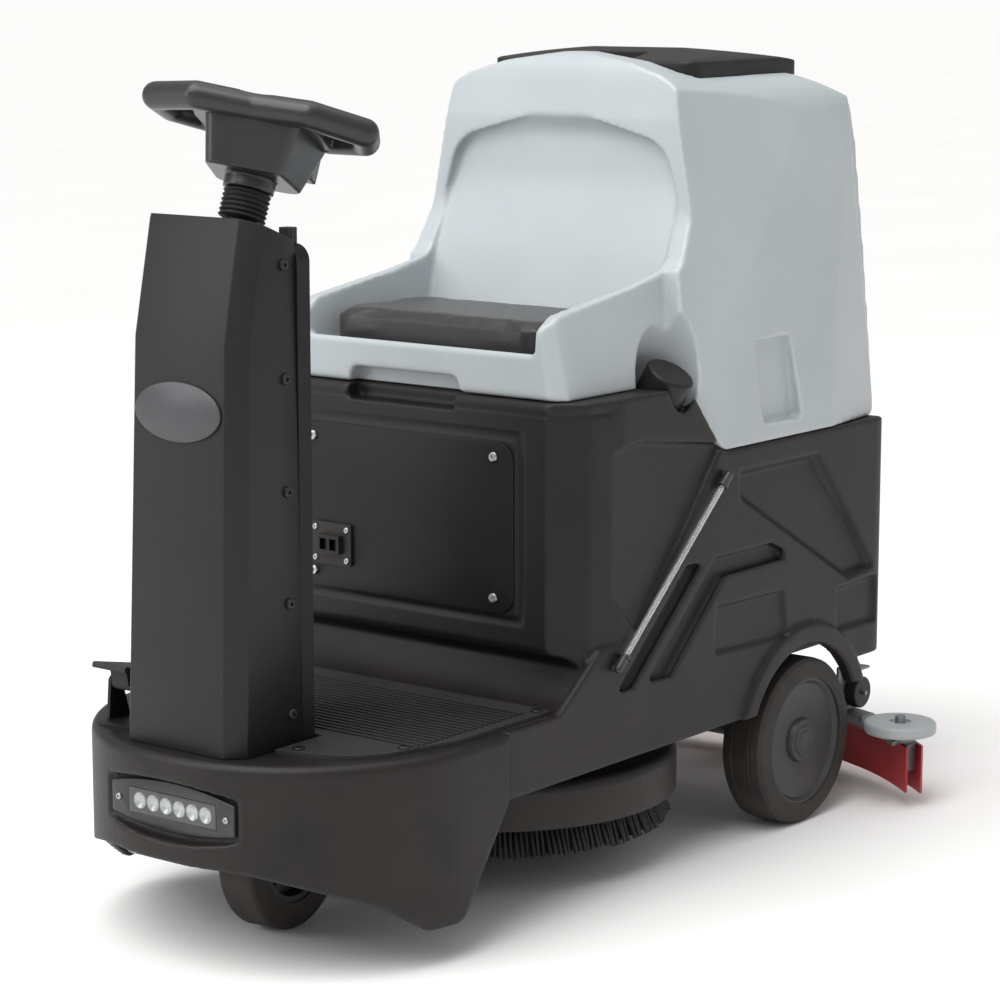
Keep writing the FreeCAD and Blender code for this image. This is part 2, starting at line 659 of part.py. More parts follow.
YOKE_HALF_W = 165.0
YOKE_T = 30.0              # it stands on the shroud
YOKE_BORE = 54.0           # open middle under the control panel
GRIP_R = 17.0


def yoke_window():
    """Finger opening of the left wing, as a plan outline."""
    return [(84, -34, 12), (YOKE_HALF_W - 36, -14, 12), (YOKE_HALF_W - 42, 20, 12), (84, 34, 12)]


def steering_yoke():
    """Butterfly handle: a broad centre and two ring-shaped wings with round rims."""
    tip = YOKE_HALF_W - GRIP_R
    half = [(40, -73, 20), (76, -84, 30), (tip + 6, -26, 24), (tip - 8, 36, 24), (84, 70, 30),
            (40, 84, 20)]
    low = YOKE_MID - YOKE_T / 2
    body = plan_prism(symmetric(half), low, low + YOKE_T)
    window = plan_prism(yoke_window(), low - 5, low + YOKE_T + 5)
    grip = cyl((tip + 2, -36, YOKE_MID), V(-12, 52, 0), GRIP_R, 82)
    grip = grip.makeFillet(GRIP_R * 0.6, circle_edges(grip, GRIP_R))
    body = fused(body, grip, mirrored(grip)).cut(window).cut(mirrored(window))
    body = body.cut(cyl((0, 0, DASH_LOW - SEAT_GAP), (0, 0, 1), DASH_R + SEAT_GAP, 2 * YOKE_T))
    body = body.cut(cyl((0, 0, low - 1), (0, 0, 1), YOKE_BORE, YOKE_T))
    return head_placed(body.removeSplitter())


DASH_R = 66.0
DASH_T = 10.0
DASH_LOW = YOKE_MID - YOKE_T / 2 + 8
BUTTON_TRAVEL = 3.0
HORN_R = 20.0
KEY_R = 8.0
STOP_R = 13.0
BUTTON_R = 8.0


def dash_spot(angle, radius):
    a = math.radians(angle)
    return radius * math.cos(a), radius * math.sin(a)


HORN_SPOT = (0.0, 0.0)
KEY_SPOT = dash_spot(35, 44)
STOP_SPOT = dash_spot(145, 44)
BUTTON_SPOT = dash_spot(90, 44)


def dash_panel():
    """Round control panel let into the yoke, open under each control's stem."""
    top = DASH_LOW + DASH_T
    plate = cyl((0, 0, DASH_LOW), (0, 0, 1), DASH_R, DASH_T)
    screen = box(-30, 30, -54, -30, top, top + 1.5)
    plate = plate.fuse(screen)
    for spot, stem in ((HORN_SPOT, HORN_R - 6), (KEY_SPOT, KEY_R - 3), (STOP_SPOT, STOP_R - 7),
                       (BUTTON_SPOT, BUTTON_R - 3)):
        plate = plate.cut(cyl((spot[0], spot[1], DASH_LOW - 5), (0, 0, 1), stem + RUN, 40))
    return head_placed(plate.removeSplitter())


def dash_control(spot, cap_r, stem_r, cap_h):
    """A cap on a stem that runs in the panel, raised by its travel."""
    top = DASH_LOW + DASH_T + BUTTON_TRAVEL + CLEAR
    stem = cyl((spot[0], spot[1], DASH_LOW + 1), (0, 0, 1), stem_r, top - DASH_LOW)
    cap = cyl((spot[0], spot[1], top), (0, 0, 1), cap_r, cap_h)
    return head_placed(fused(stem, cap))


def horn_button():
    return dash_control(HORN_SPOT, HORN_R, HORN_R - 6, 6)


def function_button():
    return dash_control(BUTTON_SPOT, BUTTON_R, BUTTON_R - 3, 4)


def emergency_stop():
    return dash_control(STOP_SPOT, STOP_R, STOP_R - 7, 9)


def key_switch():
    """Key head on its barrel; it turns without travel."""
    top = DASH_LOW + DASH_T + SEAT_GAP
    stem = cyl((KEY_SPOT[0], KEY_SPOT[1], DASH_LOW + 1), (0, 0, 1), KEY_R - 3, top - DASH_LOW)
    barrel = cyl((KEY_SPOT[0], KEY_SPOT[1], top), (0, 0, 1), KEY_R, 5)
    blade = box(KEY_SPOT[0] - 2, KEY_SPOT[0] + 2, KEY_SPOT[1] - 10, KEY_SPOT[1] + 10, top + 5, top + 20)
    return head_placed(fused(stem, barrel, blade))


KNOB_X = 76.0
KNOB_R = 11.3
KNOB_H = 20.0


def tilt_knob():
    """Ribbed clamp knob on top of the channel."""
    y = COLUMN_REAR_Y + CHANNEL_DEPTH / 2
    knob = cyl((KNOB_X, y, CHANNEL_TOP_Z + CLEAR), (0, 0, 1), KNOB_R, KNOB_H)
    for i in range(12):
        a = math.radians(30 * i)
        knob = knob.cut(cyl((KNOB_X + KNOB_R * math.cos(a), y + KNOB_R * math.sin(a),
                             CHANNEL_TOP_Z), (0, 0, 1), 1.6, KNOB_H + 5))
    return knob


# ---- front wheel ---------------------------------------------------------------------------
FORK_TURN = YOKE_TURN * SMALL_TEETH / BIG_TEETH
FORK_X = FRONT_WHEEL_W / 2 + 6      # inner side of each fork leg
FORK_T = 8.0
PLATE_LOW = DECK_Z - DECK_T - PLATE_T


def fork_placed(shape):
    placed = shape.copy()
    placed.rotate(V(0, 0, 0), V(0, 0, 1), FORK_TURN)
    placed.translate(V(0, FRONT_AXLE_Y, 0))
    return placed


def drive_fork():
    """Turntable hub, crown, two legs and the fixed axle."""
    x = FORK_X + FORK_T
    crown_top = SPROCKET_Z - 3
    crown = box(-x, x, -45, 45, crown_top - 10, crown_top)
    leg = side_prism([(-40, crown_top - 5), (-26, FRONT_WHEEL_R - 22, 20), (26, FRONT_WHEEL_R - 22, 20),
                      (40, crown_top - 5)], FORK_X, x)
    hub = cyl((0, 0, SPROCKET_Z + SPROCKET_T - 0.5), (0, 0, 1), KINGPIN_R + 10,
              PLATE_LOW - SEAT_GAP - SPROCKET_Z - SPROCKET_T + 0.5)
    pin = cyl((0, 0, crown_top - 2), (0, 0, 1), KINGPIN_R, DECK_Z - DECK_T - 1 - crown_top + 2)
    axle = cyl((-x - 6, 0, FRONT_WHEEL_R), (1, 0, 0), FRONT_AXLE_R, 2 * x + 12)
    body = fused(crown, leg, mirrored(leg), hub, pin, sprocket(BIG_TEETH, 1.0), axle)
    return fork_placed(body)


def front_tyre():
    tyre = tube((-FRONT_WHEEL_W / 2, 0, FRONT_WHEEL_R), (1, 0, 0), FRONT_WHEEL_R, FRONT_RIM_R,
                FRONT_WHEEL_W)
    return fork_placed(tyre.makeFillet(6, circle_edges(tyre, FRONT_WHEEL_R)))


def circle_edges(shape, r):
    """The round edges of one radius."""
    return [e for e in shape.Edges if hasattr(e.Curve, "Radius") and abs(e.Curve.Radius - r) < 1e-6]


def front_rim():
    w = FRONT_WHEEL_W - 6
    ring = tube((-w / 2, 0, FRONT_WHEEL_R), (1, 0, 0), FRONT_RIM_R, FRONT_RIM_R - 8, w)
    hub = cyl((-w / 2, 0, FRONT_WHEEL_R), (1, 0, 0), 24, w)
    spokes = []
    for i in range(5):
        spoke = box(-w / 2 + 8, w / 2 - 8, -5, 5, 18, FRONT_RIM_R - 4)
        spoke.rotate(V(0, 0, 0), V(1, 0, 0), 72 * i)
        spoke.translate(V(0, 0, FRONT_WHEEL_R))
        spokes.append(spoke)
    web = cyl((-3, 0, FRONT_WHEEL_R), (1, 0, 0), FRONT_RIM_R - 4, 6)
    body = fused(ring, hub, web, *spokes)
    return fork_placed(body.cut(cyl((-60, 0, FRONT_WHEEL_R), (1, 0, 0), FRONT_AXLE_R + RUN, 120)))


DRIVE_MOTOR_R = 42.0
DRIVE_MOTOR_L = 62.0


def drive_motor():
    """Traction motor on the fork's right leg."""
    x = FORK_X + FORK_T
    can = cyl((-x - DRIVE_MOTOR_L, 0, FRONT_WHEEL_R), (1, 0, 0), DRIVE_MOTOR_R, DRIVE_MOTOR_L)
    can = can.cut(cyl((-x - 7, 0, FRONT_WHEEL_R), (1, 0, 0), FRONT_AXLE_R, 10))
    box_top = box(-x - 44, -x - 14, -16, 16, FRONT_WHEEL_R + DRIVE_MOTOR_R - 6,
                  FRONT_WHEEL_R + DRIVE_MOTOR_R + 16)
    return fork_placed(fused(can, box_top))


# ---- pedal ---------------------------------------------------------------------------------
PEDAL_Y = -612.0
PEDAL_W = 60.0
PEDAL_PIN_R = 4.0
PEDAL_FOOT_W = 60.0
PEDAL_FOOT_BACK = 40.0
PEDAL_PIN_Z = DECK_Z + 54


def pedal_x():
    """Distance of the pedal's middle from the machine's centre."""
    return COLUMN_HALF_W + 12 + PEDAL_W / 2


def pedal_base():
    """Bracket bolted to the deck, with the pin that the pedal rocks on."""
    x = -pedal_x()
    w = PEDAL_FOOT_W / 2
    foot = box(x - w, x + w, PEDAL_Y - 26, PEDAL_Y + PEDAL_FOOT_BACK, DECK_Z, DECK_Z + 5)
    ear = side_prism([(PEDAL_Y - 14, DECK_Z + 2), (PEDAL_Y - 9, PEDAL_PIN_Z + 9, 8),
                      (PEDAL_Y + 9, PEDAL_PIN_Z + 9, 8), (PEDAL_Y + 26, DECK_Z + 2)], x + 20, x + 25)
    other = side_prism([(PEDAL_Y - 14, DECK_Z + 2), (PEDAL_Y - 9, PEDAL_PIN_Z + 9, 8),
                        (PEDAL_Y + 9, PEDAL_PIN_Z + 9, 8), (PEDAL_Y + 26, DECK_Z + 2)], x - 25, x - 20)
    pin = cyl((x - 28, PEDAL_Y, PEDAL_PIN_Z), (1, 0, 0), PEDAL_PIN_R, 56)
    body = fused(foot, ear, other, pin)
    return body.cut(cyl((x, PEDAL_Y, DECK_Z - 1), (0, 0, 1), 9, 3))


def accelerator_pedal():
    """Foot plate on a tubular hub between the ears."""
    x = -pedal_x()
    hub = cyl((x - 20 + CLEAR, PEDAL_Y, PEDAL_PIN_Z), (1, 0, 0), 9, 40 - 2 * CLEAR)
    plate = side_prism([(PEDAL_Y - 34, PEDAL_PIN_Z + 24, 3), (PEDAL_Y + 62, PEDAL_PIN_Z + 4, 3),
                        (PEDAL_Y + 64, PEDAL_PIN_Z + 12, 3), (PEDAL_Y - 32, PEDAL_PIN_Z + 32, 3)],
                       x - PEDAL_W / 2, x + PEDAL_W / 2)
    web = side_prism([(PEDAL_Y - 12, PEDAL_PIN_Z), (PEDAL_Y - 16, PEDAL_PIN_Z + 22),
                      (PEDAL_Y + 20, PEDAL_PIN_Z + 15), (PEDAL_Y + 8, PEDAL_PIN_Z)], x - 15, x + 15)
    body = fused(hub, plate, web)
    return body.cut(cyl((x - 60, PEDAL_Y, PEDAL_PIN_Z), (1, 0, 0), PEDAL_PIN_R + RUN, 120))


# ---- chassis -------------------------------------------------------------------------------
RAIL_TOP = DECK_Z - DECK_T
RAIL_FRONT_Y = NOSE_Y + 90
RAIL_REAR_Y = TANK_REAR_Y - 20
HANGER_T = 12.0


def chassis():
    """Two box rails, cross plates, rear axle hangers, brush guides and the squeegee pivot."""
    low = RAIL_TOP - RAIL_H
    rail = box(RAIL_X, RAIL_X + RAIL_W, RAIL_FRONT_Y, RAIL_REAR_Y, low, RAIL_TOP)
    rail = rail.cut(box(RAIL_X + RAIL_WALL, RAIL_X + RAIL_W - RAIL_WALL, RAIL_FRONT_Y - 1,
                        RAIL_REAR_Y + 1, low + RAIL_WALL, RAIL_TOP - RAIL_WALL))
    hanger = side_prism([(REAR_AXLE_Y - 45, low + 2), (REAR_AXLE_Y - 24, REAR_WHEEL_R - 22, 15),
                         (REAR_AXLE_Y + 24, REAR_WHEEL_R - 22, 15), (REAR_AXLE_Y + 45, low + 2)],
                        RAIL_X + RAIL_W - HANGER_T, RAIL_X + RAIL_W)
    x = RAIL_X + 4
    table = box(-x, x, SHAFT_Y - 40, FRONT_AXLE_Y + 115, PLATE_LOW, RAIL_TOP)
    middle = box(-x - 20, x + 20, BRUSH_Y - 30, BRUSH_Y + 30, RAIL_TOP, RAIL_TOP + 8)
    rear = box(-x, x, RAIL_REAR_Y - 60, RAIL_REAR_Y, low, low + 40)
    tray = box(-x, x, REAR_AXLE_Y - 110, REAR_AXLE_Y - 70, low, low + 30)
    guide_low = DISC_LOW_Z + DISC_T + 5
    guide = cyl((GUIDE_X, BRUSH_Y, guide_low), (0, 0, 1), GUIDE_R, RAIL_TOP + 1 - guide_low)
    ear = side_prism([(ARM_PIVOT_Y - 20, ARM_PIVOT_Z - 16, 12), (ARM_PIVOT_Y + 20, ARM_PIVOT_Z - 16, 12),
                      (RAIL_REAR_Y - 10, low + 5), (RAIL_REAR_Y - 60, low + 5)],
                     ARM_HALF_W + CLEAR, ARM_HALF_W + CLEAR + 8)
    pin = cyl((-ARM_HALF_W - 12, ARM_PIVOT_Y, ARM_PIVOT_Z), (1, 0, 0), ARM_PIN_R, 2 * ARM_HALF_W + 24)
    body = fused(rail, mirrored(rail), hanger, mirrored(hanger), table, middle, rear, tray,
                 guide, mirrored(guide), ear, mirrored(ear), pin)
    body = body.cut(cyl((0, FRONT_AXLE_Y, 0), (0, 0, 1), KINGPIN_R + RUN, DECK_Z))
    body = body.cut(cyl((0, SHAFT_Y, 0), (0, 0, 1), SHAFT_R + RUN, DECK_Z))
    return body.cut(cyl((-400, REAR_AXLE_Y, REAR_WHEEL_R), (1, 0, 0), REAR_AXLE_R, 800))


ARM_PIN_R = 8.0


def rear_axle():
    end = WHEEL_OUT_X - 12
    return cyl((-end, REAR_AXLE_Y, REAR_WHEEL_R), (1, 0, 0), REAR_AXLE_R, 2 * end)


def wheel_tyre():
    """Left rear tyre."""
    x = WHEEL_OUT_X - REAR_WHEEL_W
    tyre = tube((x, REAR_AXLE_Y, REAR_WHEEL_R), (1, 0, 0), REAR_WHEEL_R, REAR_RIM_R, REAR_WHEEL_W)
    return tyre.makeFillet(9, circle_edges(tyre, REAR_WHEEL_R))


def wheel_rim():
    """Left rear wheel centre: dished disc, hub boss and a blind bearing bore."""
    at = (0, REAR_AXLE_Y, REAR_WHEEL_R)
    x = WHEEL_OUT_X - REAR_WHEEL_W
    drum = revolved([(0, WHEEL_OUT_X - 2), (18, WHEEL_OUT_X - 2), (22, WHEEL_OUT_X - 4),
                     (31, WHEEL_OUT_X - 4), (34, WHEEL_OUT_X - 12), (88, WHEEL_OUT_X - 9),
                     (92, WHEEL_OUT_X - 3), (REAR_RIM_R, WHEEL_OUT_X - 3), (REAR_RIM_R, x + 4),
                     (REAR_RIM_R - 9, x + 4), (REAR_RIM_R - 9, x + 34), (30, x + 34), (30, x + 2),
                     (0, x + 2)], at, (1, 0, 0), (0, 1, 0))
    return drum.cut(cyl((0, REAR_AXLE_Y, REAR_WHEEL_R), (1, 0, 0), REAR_AXLE_R + RUN, WHEEL_OUT_X - 11))


# ---- black tank ----------------------------------------------------------------------------
def tank_side():
    """Side outline of the black tank above its skirts."""
    return [(BOX_FRONT_Y, BOX_LOW_Z, 14), (BOX_FRONT_Y, TANK_TOP_Z, 10), (STEP_TOP_Y, TANK_TOP_Z, 20),
            (STEP_LOW_Y, TANK_STEP_Z, 25), (TANK_REAR_Y, TANK_STEP_Z, 28),
            (TANK_REAR_Y, TANK_REAR_LOW_Z, 12), (RISER_Y, TANK_REAR_LOW_Z), (RISER_Y, BOX_LOW_Z - 6, 30)]


def tank_plan(inset):
    w = BODY_HALF_W - inset
    front = BOX_FRONT_Y + inset
    box_w = BOX_HALF_W - inset
    return symmetric([(box_w - BOX_CHAMFER, front), (box_w, front + BOX_CHAMFER, 20),
                      (w, front + BOX_CHAMFER + 60, 40),
                      (w, TANK_REAR_Y - inset, TANK_REAR_ROUND - inset)])


def gusset():
    """Side cheek that sweeps from the deck up to the battery box, with the skirt below it."""
    rear = REAR_AXLE_Y
    cheek = side_prism([(SKIRT_FRONT_Y, SKIRT_Z), (SKIRT_FRONT_Y, DECK_Z), (BOX_FRONT_Y - 40, DECK_Z, 20),
                        (BOX_FRONT_Y + 54, BOX_LOW_Z + 6), (rear, BOX_LOW_Z + 6), (rear, SKIRT_Z)],
                       BODY_HALF_W - CHEEK_T, BODY_HALF_W)
    return cheek


def wheel_house(r, x0, x1):
    return cyl((x0, REAR_AXLE_Y, REAR_WHEEL_R), (1, 0, 0), r, x1 - x0)


ARCH_R = REAR_WHEEL_R + ARCH_GAP
ARCH_IN_X = WHEEL_OUT_X - REAR_WHEEL_W - 12
FILLER_LEAN = math.radians(30)
FILLER_AXIS = (math.sin(FILLER_LEAN), 0.0, math.cos(FILLER_LEAN))
FILLER_SPOT = (BODY_HALF_W - 53.0, 50.0, TANK_TOP_Z - 34.0)
FILLER_R = 30.0
CAP_R = 35.0
CAP_H = 46.0
CAP_ROOM = 10.0            # hollow in both tanks round the cap
CAP_SEAT = 16.0            # the cap's rim stands this far out along the neck


def filler_neck():
    return cyl(FILLER_SPOT, FILLER_AXIS, FILLER_R, CAP_SEAT + CAP_H - 8)


def along_filler(s):
    return tuple(FILLER_SPOT[i] + s * FILLER_AXIS[i] for i in range(3))


def solution_tank():
    high = TANK_TOP_Z + 100
    outer = side_prism(tank_side(), -BODY_HALF_W, BODY_HALF_W)
    outer = outer.common(plan_prism(tank_plan(0), 0, high))
    cheek = gusset()
    lip = wheel_house(ARCH_R + ARCH_LIP, BODY_HALF_W - CHEEK_T, BODY_HALF_W + ARCH_LIP_OUT)
    lip = lip.cut(box(-400, 400, -400, 900, 0, SKIRT_Z))
    shell = fused(outer, cheek, mirrored(cheek), lip, mirrored(lip))
    under_x = BODY_HALF_W - CHEEK_T
    shell = shell.cut(box(-under_x, under_x, SKIRT_FRONT_Y - 10, TANK_REAR_Y + 50, 0, TANK_BOTTOM_Z))
    arch = wheel_house(ARCH_R, ARCH_IN_X, 400)
    shell = shell.cut(arch).cut(mirrored(arch))
    shell = shell.cut(cyl(along_filler(CAP_SEAT - 3), FILLER_AXIS, CAP_R + CAP_ROOM, 120))
    shell = shell.fuse(filler_neck())
    shell = shell.cut(box(-BAY_HALF_W, BAY_HALF_W, BAY_FRONT_Y, BAY_REAR_Y, TANK_FLOOR_Z, high))
    shell = shell.cut(water_space())
    shell = shell.cut(cyl(along_filler(-20), FILLER_AXIS, FILLER_R - 5, 200))
    shell = shell.cut(level_holes())
    return main_solid(shell.removeSplitter())


def main_solid(shape):
    """The largest solid of a shape, without slivers."""
    return max(shape.Solids, key=lambda s: s.Volume)


def inset_face(points, plane_x, wall):
    """Side outline moved inwards by the wall."""
    wire = outline([(plane_x, p[0], p[1]) for p in points])
    return Part.Face(wire).makeOffset2D(-wall)


def water_space():
    """Hollow of the tank: the outer shape less its wall, round the battery bay and the arches."""
    wall = TANK_WALL
    inner = inset_face(tank_side(), -BODY_HALF_W, wall).extrude(V(2 * BODY_HALF_W, 0, 0))
    inner = inner.common(plan_prism(tank_plan(wall), TANK_BOTTOM_Z + wall, TANK_TOP_Z))
    bay = box(-BAY_HALF_W - wall, BAY_HALF_W + wall, BAY_FRONT_Y - wall, BAY_REAR_Y + wall, 0, 900)
    inner = inner.cut(bay)
    arch = wheel_house(ARCH_R + wall, ARCH_IN_X - wall, 400)
    inner = inner.cut(arch).cut(mirrored(arch))
    seat = cyl(along_filler(CAP_SEAT - 3 - wall), FILLER_AXIS, CAP_R + CAP_ROOM + wall, 120)
    return inner.cut(seat)


LEVEL_R = 5.0
LEVEL_X = BODY_HALF_W + LEVEL_R + 3.5
LEVEL_TOP = (LEVEL_X, STEP_LOW_Y + 1, TANK_STEP_Z - 32)
LEVEL_LOW = (LEVEL_X, -112.0, DECK_Z + 44)


def level_holes():
    return fused(*[cyl((BODY_HALF_W - 30, end[1], end[2]), (1, 0, 0), LEVEL_R, 40)
                   for end in (LEVEL_TOP, LEVEL_LOW)])


def level_tube():
    """Clear sight tube down the side, with an elbow into the tank at each end."""
    low, top = V(*LEVEL_LOW), V(*LEVEL_TOP)
    along = (top - low).normalize()
    length = (top - low).Length
    run = Part.makeCylinder(LEVEL_R, length - 44, low + along * 22, along)
    elbows = []
    for end, way in ((low, along), (top, along * -1)):
        sleeve = Part.makeCylinder(LEVEL_R + 2, 22, end, way)
        knee = Part.makeSphere(LEVEL_R + 2, end)
        stub = Part.makeCylinder(LEVEL_R - 0.2, LEVEL_X - BODY_HALF_W + TANK_WALL + 3, end, V(-1, 0, 0))
        elbows.append(fused(sleeve, knee, stub))
    return Part.makeCompound([run] + elbows)


def filler_cap():
    cap = cyl(along_filler(CAP_SEAT), FILLER_AXIS, CAP_R, CAP_H)
    cap = cap.cut(cyl(along_filler(CAP_SEAT - 1), FILLER_AXIS, FILLER_R + RUN, CAP_H - 6))
    rim = circle_edges(cap, CAP_R)
    far = max(rim, key=lambda e: e.CenterOfMass.dot(V(*FILLER_AXIS)))
    return cap.makeFillet(5, [far])


PANEL_RIGHT_X = -204.0
PANEL_LEFT_X = 173.0
PANEL_LOW_Z = 396.0
PANEL_HIGH_Z = 632.0
PANEL_T = 3.0


def battery_panel():
    """Flat steel panel on the front of the battery box."""
    a, b = PANEL_RIGHT_X, PANEL_LEFT_X
    return front_prism([(a, PANEL_LOW_Z), (b, PANEL_LOW_Z), (b, PANEL_HIGH_Z), (a, PANEL_HIGH_Z)],
                       BOX_FRONT_Y - PANEL_T, BOX_FRONT_Y, 28)


SOCKET_X = -148.0
SOCKET_Z = 459.0


def charge_socket():
    """Battery charging socket: a plate with a recessed two-pole connector."""
    y = BOX_FRONT_Y - PANEL_T
    plate = front_prism([(SOCKET_X - 36, SOCKET_Z - 30), (SOCKET_X + 36, SOCKET_Z - 30),
                         (SOCKET_X + 36, SOCKET_Z + 30), (SOCKET_X - 36, SOCKET_Z + 30)], y - 4, y, 5)
    body = box(SOCKET_X - 20, SOCKET_X + 20, y - 12, y, SOCKET_Z - 13, SOCKET_Z + 13)
    body = fused(plate, body)
    for side in (-1, 1):
        x = SOCKET_X + side * 9
        body = body.cut(box(x - 6, x + 6, y - 20, y - 4, SOCKET_Z - 8, SOCKET_Z + 8))
    return body


def batteries():
    """Four traction batteries standing in the bay."""
    gap = 6.0
    w = BAY_HALF_W - 8
    depth = (BAY_REAR_Y - BAY_FRONT_Y - 3 * gap) / 2
    solids = []
    for side in (-1, 1):
        for row in range(2):
            y0 = BAY_FRONT_Y + gap + row * (depth + gap)
            x0 = gap / 2 if side > 0 else -w
            case = box(x0, x0 + w - gap / 2, y0, y0 + depth, TANK_FLOOR_Z, TANK_FLOOR_Z + 235)
            for end in (0.15, 0.85):
                case = case.fuse(cyl((x0 + (w - gap / 2) * end, y0 + depth * 0.25, TANK_FLOOR_Z + 234),
                                     (0, 0, 1), 9, 16))
            solids.append(case)
    return Part.makeCompound(solids)


# ---- screws --------------------------------------------------------------------------------
def button_screw(spot, out, head_r, head_h):
    """Round-headed screw with a hexagon socket, head on the surface."""
    head = cyl(spot, out, head_r, head_h)
    far = max(circle_edges(head, head_r), key=lambda e: e.CenterOfMass.dot(V(*out)))
    head = head.makeFillet(head_h * 0.6, [far])
    recess = tuple(spot[i] + out[i] * head_h * 0.4 for i in range(3))
    return head.cut(cyl(recess, out, head_r * 0.36, head_h))


def black_screws():
    """Column side screws and the screws that hold the deck mat."""
    solids = []
    low = DECK_Z + 42
    pitch = (COLUMN_BEND_Z + 95 - low) / (COLUMN_SCREWS - 1)
    lean = column_side_x(0) - column_side_x(1)
    for i in range(COLUMN_SCREWS):
        z = low + i * pitch
        x = column_side_x(z)
        for side in (-1, 1):
            solids.append(button_screw((side * x, COLUMN_REAR_Y - 22, z), (side, 0, lean), 7.5, 4))
    mat_spots = [(COLUMN_HALF_W + 28, COLUMN_REAR_Y - 42)]
    for x, y in ((BODY_HALF_W - 46, COLUMN_REAR_Y + 44), (BODY_HALF_W - 30, NOSE_BACK_Y - 40)):
        mat_spots += [(x, y), (-x, y)]
    for x, y in mat_spots:
        solids.append(button_screw((x, y, DECK_Z + MAT_T), (0, 0, 1), 8, 3))
    return Part.makeCompound(solids)


def column_side_x(z):
    """Outer face of the column's side at height z."""
    share = (z - DECK_Z) / (COLUMN_TOP_Z - DECK_Z)
    return COLUMN_HALF_W + (COLUMN_TOP_HALF_W - COLUMN_HALF_W) * share


def bright_screws():
    """Zinc screws of the battery panel, the charging socket and the lamp."""
    y = BOX_FRONT_Y - PANEL_T
    inset = 21.0
    spots = []
    for x in (PANEL_RIGHT_X + inset, PANEL_LEFT_X - inset - 12):
        for z in (PANEL_LOW_Z + inset, PANEL_HIGH_Z - inset):
            spots.append(((x, y, z), 7.0, 3.5))
    for dx in (-29, 29):
        for dz in (-22, 22):
            spots.append(((SOCKET_X + dx, y - 4, SOCKET_Z + dz), 4.5, 2.5))
    for x in (-94, 94):
        spots.append(((x, LIGHT_BACK_Y - BEZEL_T, LIGHT_Z), 4.5, 2.5))
    return Part.makeCompound([button_screw(s, (0, -1, 0), r, h) for s, r, h in spots])


# ---- brush ---------------------------------------------------------------------------------
def brush_deck():
    """Round splash cover with bushes on the guide rods."""
    at = (0, BRUSH_Y, COVER_LOW_Z)
    top = COVER_LOW_Z + COVER_H
    cover = cyl(at, (0, 0, 1), COVER_R, COVER_H)
    cover = cover.cut(cyl(at, (0, 0, 1), COVER_R - COVER_WALL, COVER_H - COVER_WALL))
    cover = cover.makeFillet(16, [e for e in circle_edges(cover, COVER_R)
                                  if e.CenterOfMass.z > top - 1])
    bush = cyl((GUIDE_X, BRUSH_Y, top - COVER_WALL - 10), (0, 0, 1), GUIDE_R + 8, 36)
    body = fused(cover, bush, mirrored(bush))
    for side in (-1, 1):
        body = body.cut(cyl((side * GUIDE_X, BRUSH_Y, 0), (0, 0, 1), GUIDE_R + RUN, 400))
    return body.cut(cyl((0, BRUSH_Y, 0), (0, 0, 1), SPINDLE_R + RUN, 400))


SPINDLE_R = 14.0
DISC_LOW_Z = BRUSH_LIFT + BRISTLE_H


def brush_disc():
    """Brush block with its drive spindle, which runs in the deck."""
    top = DISC_LOW_Z + DISC_T
    disc = cyl((0, BRUSH_Y, DISC_LOW_Z), (0, 0, 1), BRUSH_R - 22, DISC_T)
    flange = cyl((0, BRUSH_Y, top - 1), (0, 0, 1), 60, 12)
    spindle = cyl((0, BRUSH_Y, top), (0, 0, 1), SPINDLE_R, COVER_LOW_Z + COVER_H - top + 20)
    return fused(disc, flange, spindle)


def brush_bristles():
    """Ring of bristles, flared outwards at the tips."""
    return revolved([(BRUSH_R - 160, DISC_LOW_Z), (BRUSH_R - 24, DISC_LOW_Z), (BRUSH_R, BRUSH_LIFT),
                     (BRUSH_R - 165, BRUSH_LIFT)], (0, BRUSH_Y, 0), (0, 0, 1), (1, 0, 0))


def brush_motor():
    """Gearmotor on the deck, bored for the spindle."""
    low = COVER_LOW_Z + COVER_H
    can = cyl((0, BRUSH_Y, low), (0, 0, 1), MOTOR_R, RAIL_TOP - low - 4)
    return can.cut(cyl((0, BRUSH_Y, low - 1), (0, 0, 1), SPINDLE_R + RUN, 24))


def lift_actuator():
    """Electric lift behind the brush motor, hung from the cross plate."""
    y = BRUSH_Y + MOTOR_R + 46
    hang = box(-14, 14, BRUSH_Y + 30, y + 14, RAIL_TOP, RAIL_TOP + 7)
    case = cyl((0, y, COVER_LOW_Z + COVER_H + 26), (0, 0, 1), 14, RAIL_TOP - COVER_LOW_Z - COVER_H - 26)
    return fused(hang, case)


# ---- squeegee ------------------------------------------------------------------------------
BOW_CENTRE_Y = LENGTH / 2 - 10 - SQUEEGEE_R
BLADE_LOW = SQUEEGEE_LIFT
BODY_PLATE_Z = BLADE_LOW + BLADE_H + 2


def bow(r_in, r_out, half_w, z0, z1):
    """Piece of a ring about the bow's centre, cut square at the two ends."""
    at = (0, BOW_CENTRE_Y, z0)
    ring = cyl(at, (0, 0, 1), r_out, z1 - z0).cut(cyl(at, (0, 0, 1), r_in, z1 - z0))
    return ring.common(box(-half_w, half_w, BOW_CENTRE_Y + 100, BOW_CENTRE_Y + 900, z0, z1))


